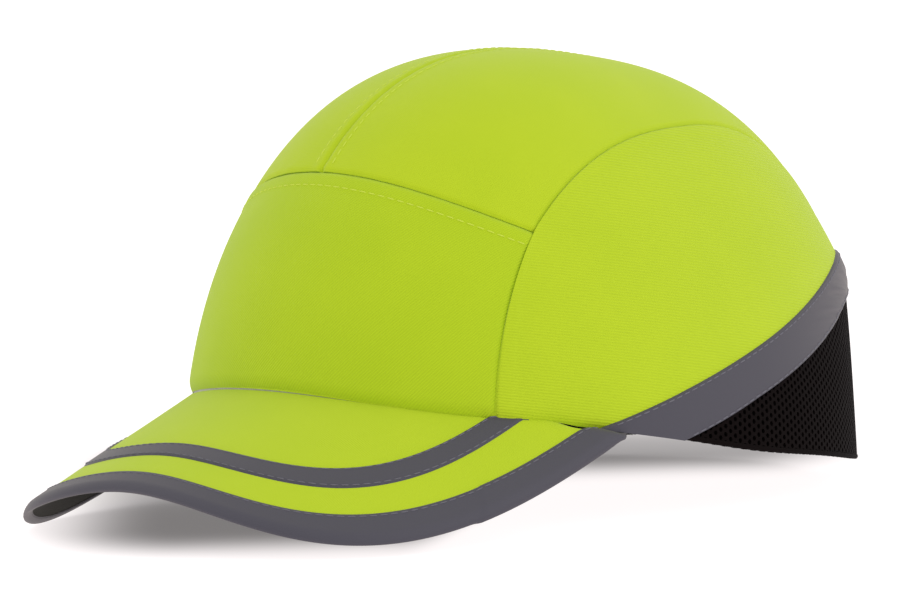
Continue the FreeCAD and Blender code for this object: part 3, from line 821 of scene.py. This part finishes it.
def build_mesh():
    """Both halves of the mesh, laid out along the hem's length and its height."""
    turns = np.linspace(arch_start(ARCH_TAPE / 2), math.pi, 3000)
    hem = round_spot(turns, 0.0 * turns)
    length = run_length(hem)

    def inside(along, up):
        spot = round_spot(np.interp(along, length, turns), up)
        under = up < arch_height(spot[:, 1], ARCH_TAPE * 0.7)
        beside = (opening_share(spot[:, 0], up, OPENING_TAPE * 0.5) > 1) | (spot[:, 1] < 0)
        return under & beside & (up > HEM_ROLL * 0.6) & (along < length[-1])

    corners, holes = hex_sheet(inside, length[-1], 60 * MM, MESH_PITCH)
    flat = np.concatenate([corners, holes], axis=1)
    turn = np.interp(flat[..., 0], length, turns)
    outer = round_spot(turn, flat[..., 1])
    inner = round_spot(turn, flat[..., 1], MESH_IN)
    points = np.concatenate([outer, inner], axis=1).reshape(-1, 3)
    return points, cell_faces(len(flat))


mesh_points, mesh_faces = build_mesh()
both = hung(np.concatenate([mesh_points, mirrored(mesh_points)]))
both_faces = np.concatenate([mesh_faces, mesh_faces[:, ::-1] + len(mesh_points)])
welded, welded_faces = merged(both, both_faces)
piece("rear_mesh_net", welded, welded_faces, MESH, "cap", ("rear_mesh",), crease=60)


def tube(path, outward, up, across, high, sides=10):
    """An oval tube along a path; outward and up are the oval's two axes at each point."""
    angle = np.linspace(0, 2 * math.pi, sides, endpoint=False)
    ring = np.cos(angle)[None, :, None] * outward[:, None] * across
    ring = ring + np.sin(angle)[None, :, None] * up[:, None] * high
    points = path[:, None] + ring
    index = np.arange(len(path) * sides).reshape(len(path), sides)
    closed = np.concatenate([index, index[:, :1]], axis=1)
    faces = [list(face) for face in grid_faces(closed).tolist()]
    faces.append(index[0].tolist())
    faces.append(index[-1, ::-1].tolist())
    return points.reshape(-1, 3), faces


def outward_of(points):
    """Level directions away from the crown's upright axis."""
    flat = points * (1, 1, 0)
    return flat / np.linalg.norm(flat, axis=-1, keepdims=True)


def hem_roll(side, sign):
    """The mesh's own hem, rolled up."""
    turns = sign * np.linspace(arch_start(ARCH_TAPE) - 0.02, opening_turn, 120)
    path = hung(round_spot(turns, 0 * turns + HEM_ROLL / 2, FABRIC / 2))
    up = np.broadcast_to((0.0, 0.0, 1.0), path.shape)
    points, faces = tube(path, outward_of(path), up, 0.85 * MM, HEM_ROLL / 2)
    piece(f"mesh_hem_{side}", points, faces, MESH, "cap")


opening_turn = math.pi - math.atan2(*CORNER)
LINING_OUT = 1.5 * MM
LINING_IN = 2.1 * MM


def hem_lining(side, sign):
    """The tape sewn inside the hem, from the brim's end to the opening."""
    low, high = cap_box("hem_tape_left")
    first = math.atan2(high[0], -low[1])
    turns = np.linspace(first, opening_turn, 120)[:, None] + np.zeros(6)
    height = np.linspace(low[2] + 0.2 * MM, high[2], 6)[None, :] + 0 * turns
    outer = hung(round_spot(sign * turns, height, LINING_OUT))
    inner = hung(round_spot(sign * turns, height, LINING_IN))
    sheet_piece(f"hem_tape_{side}_band", outer, inner, BLACK_TAPE, "cap", (f"hem_tape_{side}",))


for side, sign in (("left", 1), ("right", -1)):
    hem_roll(side, sign)
    hem_lining(side, sign)


def opening_line(grow):
    """The half-moon's outline from the left hem over the top to the right hem."""
    half = OPENING_HALF + grow
    angle = np.linspace(0, math.pi, FINE)
    x = np.concatenate([[half] * 40, half * np.cos(angle), [-half] * 40])
    up = np.linspace(0, OPENING_STRAIGHT, 40, endpoint=False)
    z = np.concatenate([up, OPENING_STRAIGHT + (OPENING_ARC + grow) * np.sin(angle), up[::-1]])
    return back_spot(x, z)


def binding_depth(reach, grid):
    """The binding stands proud, and rolls inwards at the opening."""
    rim = np.clip(reach.top / (1.2 * MM), 0, 1)
    proud = 0.8 * MM * quarter_round(reach.bottom, 0.8 * MM)
    return (1 - rim) ** 2 * 1.1 * MM - proud * rim**0.5


outer_line = opening_line(OPENING_TAPE)
inner_line = opening_line(0)
ends = [np.linspace(outer_line[end], inner_line[end], FINE) for end in (0, -1)]
outer, reach = crown_sheet((outer_line, inner_line, *ends), 180, 16, binding_depth)
inner = hung(cast(CROWN_MIDDLE, outer - CROWN_MIDDLE, 1.5 * MM))
outer = hung(outer)
sheet_piece("opening_binding_tape", outer, inner, BLACK_TAPE, "cap", ("opening_binding",))
opening_strip = (outer, reach)


# The brim

BRIM_SHAPE = (BRIM_HALF, BRIM_END, BRIM_REACH, BRIM_POWER)


def brim_plan(swing, grow, half, end, reach, power):
    """The brim's outline in plan: half a superellipse; swing runs from -90 to 90 degrees."""
    across = signed_power(np.sin(swing), 2 / power)
    along = np.maximum(np.cos(swing), 0) ** (2 / power)
    length = CROWN_FRONT + reach - end + grow
    return (half + grow) * across, -end - length * along


def clear_of_crown(x, y, inset=0.9 * MM):
    """Points that would lie inside the crown slide out to its wall."""
    turn = np.arctan2(x, -y)
    ratio = np.maximum(crown_radius(turn, 0 * x, inset) / np.hypot(x, y), 1)
    return x * ratio, y * ratio


def brim_press(y):
    """How thick the brim is, as a share: its ends are pressed flat under the hem."""
    return 1 - END_PRESS * ease((y + BRIM_END + PRESS_RUN) / PRESS_RUN)


def brim_outline(swing, grow):
    """The brim's outline with its ends turned in, so that they stay under the hem."""
    x, y = brim_plan(swing, grow, *BRIM_SHAPE)
    return x - np.sign(x) * END_TUCK * ease((y + BRIM_END + TUCK_RUN) / TUCK_RUN), y


def brim_point(swing, grow, lift):
    x, y = clear_of_crown(*brim_outline(swing, grow))
    return stack(x, y, brim_height(x, y) + lift * brim_press(y))


def even_swings(count, shape=BRIM_SHAPE):
    """Swings that cut the outline into equal lengths."""
    fine = np.linspace(-math.pi / 2, math.pi / 2, 4001)
    length = run_length(stack(*brim_plan(fine, 0, *shape), 0))
    return np.interp(np.linspace(0, length[-1], count), length, fine)


def brim_cover(name, top, bottom, finish, node):
    """A thin sheet from the crown's wall to just inside the binding."""
    swings = even_swings(170)
    x, y = brim_outline(swings, -0.6 * MM)
    reach_turn = math.atan2(BRIM_HALF, BRIM_END)
    turns = np.linspace(-reach_turn, reach_turn, 170)
    wall = round_spot(turns, 0 * turns, 1.1 * MM)
    share = np.linspace(0, 1, 60)[None, :]
    gx = wall[:, 0][:, None] * (1 - share) + x[:, None] * share
    gy = wall[:, 1][:, None] * (1 - share) + y[:, None] * share
    gx, gy = clear_of_crown(gx, gy, 1.1 * MM)
    soft = 0.05 * MM * np.sin(gx / (9 * MM)) * np.sin(gy / (7 * MM))
    press = brim_press(gy)
    outer = stack(gx, gy, brim_height(gx, gy) + top * press + soft)
    inner = stack(gx, gy, brim_height(gx, gy) + bottom * press)
    threads = stack(gx / MM, gy / MM, 0)
    sheet_piece(name, outer, inner, finish, "cap", (node,), threads)
    return outer


brim_cover("brim_upper_cloth", COVER_TOP, 0.68 * MM, TOP_YELLOW, "brim_upper_cover")
brim_cover("brim_lower_cloth", -1.16 * MM, -0.76 * MM, UNDERSIDE, "brim_lower_cover")
brim_cover("brim_board_sheet", 0.56 * MM, -0.64 * MM, BOARD, "brim_board")

STRIPE = (65.55 * MM, 71.1 * MM, 33.2 * MM, 2.76)
STRIPE_WIDTH = 6.1 * MM
LEAF_ROUND = 0.6 * MM


def stripe():
    """The reflective stripe sewn on the brim's top."""
    swings = even_swings(200, STRIPE)[:, None]
    share = np.linspace(0, 1, 14)[None, :]
    rounding = quarter_round(np.minimum(share, 1 - share) * STRIPE_WIDTH, LEAF_ROUND)
    x, y = clear_of_crown(*brim_plan(swings, -STRIPE_WIDTH * share, *STRIPE))
    lift = COVER_TOP + 0.1 * MM + (BRIM_TOP - COVER_TOP) * rounding
    outer = stack(x, y, brim_height(x, y) + lift)
    inner = stack(x, y, brim_height(x, y) + COVER_TOP)
    reach = Reach(outer)
    sheet_piece("brim_stripe_tape", outer, inner, TAPE, "cap", ("brim_stripe",), cloth_threads(reach))
    return outer, reach


brim_stripe = stripe()

BRIM_FLOOR = -1.68 * MM
UNDER_LEAF = 2.2 * MM
SPLICE = 52 * MM
SPLICE_LEAN = 0.9
LAP_RISE = 0.22 * MM
TAPE_THICK = 0.35 * MM


def binding_profile():
    """Across the binding: upper leaf, rounded edge, lower leaf, as (grow, lift) pairs."""
    radius = (BRIM_TOP - BRIM_FLOOR) / 2
    middle = (BRIM_TOP + BRIM_FLOOR) / 2
    share = np.linspace(0, 1, 12)
    upper = -BRIM_TAPE + (BRIM_TAPE - radius) * share
    lower = -UNDER_LEAF + (UNDER_LEAF - radius) * share[::-1]
    step = (1 - quarter_round(share * (BRIM_TAPE - radius), LEAF_ROUND)) * 0.4 * MM
    angle = np.linspace(math.pi / 2, -math.pi / 2, 12)[1:-1]
    grow = np.concatenate([upper, -radius + radius * np.cos(angle), lower])
    lift = np.concatenate([
        BRIM_TOP - step,
        middle + radius * np.sin(angle),
        BRIM_FLOOR + step[::-1],
    ])
    return grow, lift


def binding():
    """The brim's binding: a folded tape round its edge, one end lapped over the other at a slant."""
    swings = even_swings(320)[:, None]
    grow, lift = binding_profile()
    middle = (BRIM_TOP + BRIM_FLOOR) / 2
    grow = grow[None, :]
    lift = lift[None, :]
    plain = brim_point(swings, grow, lift)
    reach = Reach(plain)
    lap = 1 / (1 + np.exp((reach.right - SPLICE - SPLICE_LEAN * reach.bottom) / (0.25 * MM)))
    thick = LAP_RISE * lap
    leaf = np.sign(lift - middle)
    outer = brim_point(swings, grow + thick * (grow > -1.7 * MM), lift + thick * leaf)
    inner = brim_point(swings, grow - TAPE_THICK * (grow > -2 * MM), lift - TAPE_THICK * leaf)
    sheet_piece("brim_binding_tape", outer, inner, TAPE, "cap", ("brim_binding",), cloth_threads(reach))
    return outer, reach


brim_bound = binding()


# Stitches: short threads, half sunk in the cloth


def stitch_mesh(path, normals, length, gap, width):
    """Points and faces of stitches laid along a path on a surface."""
    so_far = run_length(path)
    count = max(int(so_far[-1] / (length + gap)), 1)
    middles = (np.arange(count) + 0.5) * so_far[-1] / count

    def at(values, where):
        return np.stack([np.interp(where, so_far, values[:, axis]) for axis in range(3)], axis=1)

    centre = at(path, middles)
    along = at(path, middles + length / 2) - at(path, middles - length / 2)
    along /= np.maximum(np.linalg.norm(along, axis=1, keepdims=True), 1e-9)
    up = at(normals, middles)
    up -= along * np.sum(along * up, axis=1, keepdims=True)
    up /= np.linalg.norm(up, axis=1, keepdims=True)
    across = np.cross(along, up)
    rings = np.linspace(-1, 1, 7)
    girth = np.sqrt(np.maximum(1 - rings**4, 0.02))
    angle = np.linspace(0, 2 * math.pi, 6, endpoint=False)
    x = np.repeat(rings * length / 2, 6)
    y = (girth[:, None] * np.cos(angle)).ravel() * width / 2
    z = (girth[:, None] * np.sin(angle)).ravel() * width / 2
    points = centre[:, None] + x[None, :, None] * along[:, None]
    points = points + y[None, :, None] * across[:, None] + z[None, :, None] * up[:, None]
    index = np.arange(42).reshape(7, 6)
    closed = np.concatenate([index, index[:, :1]], axis=1)
    one = grid_faces(closed)
    first, last = index[0], index[-1]
    caps = [first[[0, 1, 2, 3]], first[[3, 4, 5, 0]], last[[3, 2, 1, 0]], last[[0, 5, 4, 3]]]
    one = np.concatenate([one, caps])
    faces = (one[None] + 42 * np.arange(count)[:, None, None]).reshape(-1, 4)
    return points.reshape(-1, 3), faces


def surface_normals(outer):
    normal = np.cross(np.gradient(outer, axis=0), np.gradient(outer, axis=1))
    normal /= np.maximum(np.linalg.norm(normal, axis=-1, keepdims=True), 1e-12)
    away = outer - CROWN_MIDDLE
    return normal * np.sign(np.sum(normal * away, axis=-1, keepdims=True))


def inside_line(sheet, side, distance):
    """A line on a sheet at that distance inside one of its borders, and its normals."""
    outer, reach = sheet
    normals = surface_normals(outer)
    measure = getattr(reach, side)
    if side in ("left", "right"):
        outer, normals, measure = (np.swapaxes(item, 0, 1) for item in (outer, normals, measure))
    if side in ("top", "right"):
        outer, normals, measure = (item[:, ::-1] for item in (outer, normals, measure))
    line = []
    for source in (outer, normals):
        line.append(np.array([
            [np.interp(distance, steps, row[:, axis]) for axis in range(3)]
            for steps, row in zip(measure, source)
        ]))
    return line


def stitched(name, runs, finish, body="cap", length=2.3 * MM, gap=0.7 * MM, width=0.42 * MM):
    """One piece that holds every stitch of the runs, each a path with its normals."""
    points = []
    faces = []
    start = 0
    for path, normals in runs:
        run_points, run_faces = stitch_mesh(path, normals, length, gap, width)
        points.append(run_points)
        faces.append(run_faces + start)
        start += len(run_points)
    piece(name, np.concatenate(points), np.concatenate(faces), finish, body, crease=60)


def trimmed(line, share=0.02):
    """The same line without that share of its points at each end."""
    path, normals = line
    cut = int(len(path) * share)
    return path[cut:len(path) - cut], normals[cut:len(path) - cut]


stitched("stitches_front_top", [trimmed(inside_line(front_cloth, "top", TOP_STITCH))], YELLOW_THREAD)
stitched(
    "stitches_centre",
    [trimmed(inside_line(crown_cloth[side], "bottom", CENTRE_STITCH)) for side in ("left", "right")],
    YELLOW_THREAD,
)
stitched(
    "stitches_arch_tape",
    [trimmed(inside_line(arch_strip, side, 1.5 * MM)) for side in ("bottom", "top")],
    GREY_THREAD,
)
stitched("stitches_opening", [inside_line(opening_strip, "bottom", 1.2 * MM)], BLACK_THREAD)
stitched(
    "stitches_stripe",
    [trimmed(inside_line(brim_stripe, side, 0.9 * MM), 0.03) for side in ("bottom", "top")],
    GREY_THREAD,
)
stitched("stitches_binding", [trimmed(inside_line(brim_bound, "bottom", 1.3 * MM), 0.01)], GREY_THREAD)


# Inside: the sweatband, and the pads that ride with the shell

BAND_OUT = 2.6 * MM
BAND_IN = 5.0 * MM
BAND_LOW = 0.6 * MM
BAND_TOP = 28 * MM


def sweatband():
    """A padded terry band: an oval section that swells a little between its edges."""
    y_end = cap_box("sweatband")[1][1]
    fine = np.linspace(math.radians(90), math.radians(150), 500)
    last = np.interp(y_end, -crown_radius(fine, 14 * MM) * np.cos(fine), fine)
    turns = np.linspace(-last, last, 240)[:, None]
    angle = np.linspace(0, 2 * math.pi, 28, endpoint=False)[None, :]
    height = (BAND_TOP + BAND_LOW) / 2 + (BAND_TOP - BAND_LOW) / 2 * signed_power(np.cos(angle), 0.5)
    end = np.sqrt(np.clip(1 - (np.abs(turns) / last) ** 40, 0, 1))
    swell = signed_power(np.sin(angle), 0.6) * (BAND_IN - BAND_OUT) / 2 * (0.25 + 0.75 * end)
    puff = 0.12 * MM * np.sin(turns * 40) * np.maximum(np.sin(angle), 0)
    inset = (BAND_OUT + BAND_IN) / 2 + swell + puff
    points = round_spot(turns + 0 * angle, height + 0 * turns, inset)
    index = np.arange(points.shape[0] * points.shape[1]).reshape(points.shape[:2])
    closed = np.concatenate([index, index[:, :1]], axis=1)
    faces = [list(face) for face in grid_faces(closed).tolist()]
    faces.append(index[0].tolist())
    faces.append(index[-1, ::-1].tolist())
    return points.reshape(-1, 3), faces


piece("sweatband_terry", *sweatband(), TERRY, "cap", ("sweatband",))

PAD_OUT = 8.3 * MM
PAD_IN = 13.1 * MM
PAD_ROUND = 5 * MM


def pad_thickness(distance):
    return (PAD_IN - PAD_OUT) * (0.12 + 0.88 * quarter_round(distance, PAD_ROUND))


def pad(name, grid, node):
    """A foam pad: flat on the shell, crowned towards the head, and rounded round its border."""
    outer = cast(CROWN_MIDDLE, grid - CROWN_MIDDLE, PAD_OUT)
    thick = pad_thickness(Reach(outer).edge())
    inner = cast(CROWN_MIDDLE, grid - CROWN_MIDDLE, PAD_OUT + thick)
    sheet_piece(name, outer, inner, FOAM, "insert", (node,))


def rounded_square(count):
    """Two grids from -1 to 1 whose outline is a square with well rounded corners."""
    even = np.linspace(-1, 1, count)
    u, v = np.meshgrid(even, even, indexing="ij")
    return u * np.sqrt(1 - 0.28 * v**2), v * np.sqrt(1 - 0.28 * u**2)


u, v = rounded_square(40)
for name, sign in (("front_pad", -1), ("rear_pad", 1)):
    low, high = cap_box(name)
    x = high[0] * u
    z = (low[2] + high[2]) / 2 + (high[2] - low[2]) / 2 * v
    pad(f"{name}_foam", cast(stack(x, 0, z), (0, sign, 0), PAD_OUT), name)
for name, sign in (("side_pad_left", 1), ("side_pad_right", -1)):
    low, high = cap_box(name)
    y = (low[1] + high[1]) / 2 + (high[1] - low[1]) / 2 * u
    z = (low[2] + high[2]) / 2 + (high[2] - low[2]) / 2 * v
    pad(f"{name}_foam", cast(stack(0, y, z), (sign, 0, 0), PAD_OUT), name)


def crown_pad():
    """The round pad under the crown's top, from rings of points."""
    high = cap_box("crown_pad")[1][0]
    share = np.linspace(0, 1, 24)[:, None]
    turn = np.linspace(0, 2 * math.pi, 60, endpoint=False)[None, :]
    x = high * share * np.cos(turn)
    y = high * share * np.sin(turn)
    outer = cast(stack(x, y, 40 * MM), (0, 0, 1), PAD_OUT)
    thick = pad_thickness((1 - share) * high)
    inner = cast(stack(x, y, 40 * MM), (0, 0, 1), PAD_OUT + thick + 0 * x)
    rings = np.concatenate([outer, inner[::-1]])
    index = np.arange(rings.shape[0] * 60).reshape(-1, 60)
    closed = np.concatenate([index, index[:, :1]], axis=1)
    return merged(rings.reshape(-1, 3), grid_faces(closed))


def without_slivers(points, faces):
    """Faces with their repeated corners removed."""
    kept = []
    for face in faces.tolist():
        corners = list(dict.fromkeys(face))
        if len(corners) > 2:
            kept.append(corners)
    return points, kept


piece("crown_pad_foam", *without_slivers(*crown_pad()), FOAM, "insert", ("crown_pad",))


# The strap: strips of webbing bent round the joint's axis

STRAP_CENTRE = to_cap(np.array(strap_joint["pos_m"]))[1]
STRAP_LOW = cap_box("strap_tab")[0][2]
STRAP_HIGH = cap_box("strap_tab")[1][2]
STRAP_WIDTH = STRAP_HIGH - STRAP_LOW
WEB = 1.0 * MM


def web_strip(name, start, end, radius, body, node, round_start=False, round_end=False):
    """A strip of webbing between two angles counted from the back towards the left."""
    angles = np.radians(np.linspace(start, end, 90))[:, None]
    share = np.linspace(-1, 1, 21)[None, :]
    middle = (STRAP_LOW + STRAP_HIGH) / 2
    tip = STRAP_WIDTH / 2 / radius
    along = np.sqrt(np.clip(1 - 0.9 * share**2, 0, 1))
    first = angles[0] + tip * (1 - along) * round_start
    last = angles[-1] - tip * (1 - along) * round_end
    part = (angles - angles[0]) / (angles[-1] - angles[0])
    swing = first + (last - first) * part
    height = middle + share * (STRAP_WIDTH / 2 - 0.05 * MM) + 0 * swing
    rounding = quarter_round((1 - np.abs(share)) * STRAP_WIDTH / 2, 0.5 * MM)
    full = WEB / 2 * (0.4 + 0.6 * rounding) + 0 * swing
    grids = []
    for side in (1, -1):
        away = radius - WEB / 2 + side * full
        grids.append(stack(away * np.sin(swing), STRAP_CENTRE + away * np.cos(swing), height))
    threads = stack(swing * radius / MM, height / MM, 0)
    sheet_piece(name, grids[0], grids[1], WEBBING, body, (node,), threads)


BASE_RADIUS = cap_box("strap_tab")[1][1] - STRAP_CENTRE
LOOP_RADIUS = BASE_RADIUS - 2.4 * MM
web_strip("strap_base_web", -50, -16.8, BASE_RADIUS, "strap", "strap_base")
web_strip("strap_tab_web", -15.7, 15, BASE_RADIUS, "tab", "strap_tab", round_end=True)
web_strip("loop_strap_web", -24, 46, LOOP_RADIUS, "cap", "loop_strap", round_start=True)


# The floor, the light and the camera

CAMERA_AIM = Vector((-16.9, 11.65, 53.8)) * MM
CAMERA_AWAY = 2.415
CAMERA_AZIMUTH = math.radians(45.18)
CAMERA_ELEVATION = math.radians(5.40)
CAMERA_ROLL = math.radians(-1.66)
CAMERA_LENS = 335.5
FLOOR_HALF = 3.0
FLOOR_LEVEL = -2.7 * MM
# How strongly the floor glows: least under the cap, which is a painted shadow, and fully away from it
PAINTED_SHADOW_GLOW = 0.2
GLOW_FAR = 1.0

# Where the painted shadow in the floor's glow ends: towards the camera, beside the brim and beside the back, and
# on the other sides
SHADOW_AT_BRIM = 125 * MM
SHADOW_AT_BACK = -38 * MM
SHADOW_STEP = (-20 * MM, 30 * MM)
SHADOW_FRONT = (14 * MM, -85 * MM)
SHADOW_SIDE = (140 * MM, 80 * MM)
SHADOW_BEHIND = (-260 * MM, -120 * MM)


def floor():
    """A pale floor that glows round the cap and carries a short painted shadow: a mask turns its glow down under
    and beside the cap, over the real shadow that the lamps and sky cast on its grey surface.
    """
    finish = Finish("floor")
    place = finish.add("NewGeometry").outputs["Position"]

    def along(direction):
        product = finish.add("VectorMath", {"operation": "DOT_PRODUCT"}, in0=place, in1=direction)
        return product.outputs["Value"]

    def fade(value, start, end, low=0.0, high=1.0):
        settings = {"interpolation_type": "SMOOTHSTEP"}
        limits = {"From_Min": start, "From_Max": end, "To_Min": low, "To_Max": high}
        return finish.add("MapRange", settings, Value=value, **limits).outputs["Result"]

    sine = math.sin(CAMERA_AZIMUTH)
    cosine = math.cos(CAMERA_AZIMUTH)
    toward = along((sine, -cosine, 0))
    across = along((cosine, sine, 0))
    painted_shadow_edge = fade(across, *SHADOW_STEP, SHADOW_AT_BRIM, SHADOW_AT_BACK)
    front = fade(finish.math("SUBTRACT", toward, painted_shadow_edge), *SHADOW_FRONT)
    side = fade(finish.math("ABSOLUTE", across), *SHADOW_SIDE)
    back = fade(toward, *SHADOW_BEHIND)
    # painted shadow: this mask rises towards 1 under and beside the cap, where the floor's glow is turned down
    under = finish.math("MULTIPLY", finish.math("MULTIPLY", front, side), back)
    glow = fade(under, 0, 1, GLOW_FAR, PAINTED_SHADOW_GLOW)
    material = finish.done(
        (0.27, 0.26, 0.26),
        1.0,
        Specular_IOR_Level=0.0,
        Emission_Color=(1, 0.95, 0.95),
        Emission_Strength=glow,
    )
    mesh = bpy.data.meshes.new("floor")
    around = ((-1, -1), (1, -1), (1, 1), (-1, 1))
    corners = [(x * FLOOR_HALF, y * FLOOR_HALF, FLOOR_LEVEL) for x, y in around]
    mesh.from_pydata(corners, [], [(0, 1, 2, 3)])
    mesh.materials.append(material)
    thing = bpy.data.objects.new("floor", mesh)
    bpy.context.scene.collection.objects.link(thing)


def lamp(name, place, aim, size, power):
    light = bpy.data.lights.new(name, "AREA")
    light.shape = "DISK"
    light.size = size
    light.energy = power
    thing = bpy.data.objects.new(name, light)
    thing.location = place
    thing.rotation_euler = (Vector(aim) - Vector(place)).to_track_quat("-Z", "Y").to_euler()
    bpy.context.scene.collection.objects.link(thing)


def sky(strength):
    world = bpy.data.worlds.new("studio")
    world.use_nodes = True
    background = world.node_tree.nodes["Background"]
    background.inputs[0].default_value = (1, 1, 1, 1)
    background.inputs[1].default_value = strength
    bpy.context.scene.world = world


floor()
sky(0.88)
lamp("side", (1.6, 0.7, 1.5), (0, 0, 0.05), 2.2, 12)
lamp("front", (-0.8, -1.5, 1.8), (0, 0, 0.05), 2.2, 5)

bpy.context.scene.view_settings.view_transform = "Standard"
bpy.context.scene.view_settings.look = "None"


def camera():
    """A far camera with a long lens, a little above, to the front and the wearer's left."""
    data = bpy.data.cameras.new("camera")
    data.sensor_width = 36
    data.lens = CAMERA_LENS
    data.clip_start = 0.1
    data.clip_end = 20
    thing = bpy.data.objects.new("camera", data)
    level = math.cos(CAMERA_ELEVATION)
    back = Vector((
        math.sin(CAMERA_AZIMUTH) * level,
        -math.cos(CAMERA_AZIMUTH) * level,
        math.sin(CAMERA_ELEVATION),
    ))
    thing.location = CAMERA_AIM + back * CAMERA_AWAY
    turn = (-back).to_track_quat("-Z", "Y").to_matrix() @ Matrix.Rotation(CAMERA_ROLL, 3, "Z")
    thing.rotation_euler = turn.to_euler()
    bpy.context.scene.collection.objects.link(thing)
    bpy.context.scene.camera = thing


camera()
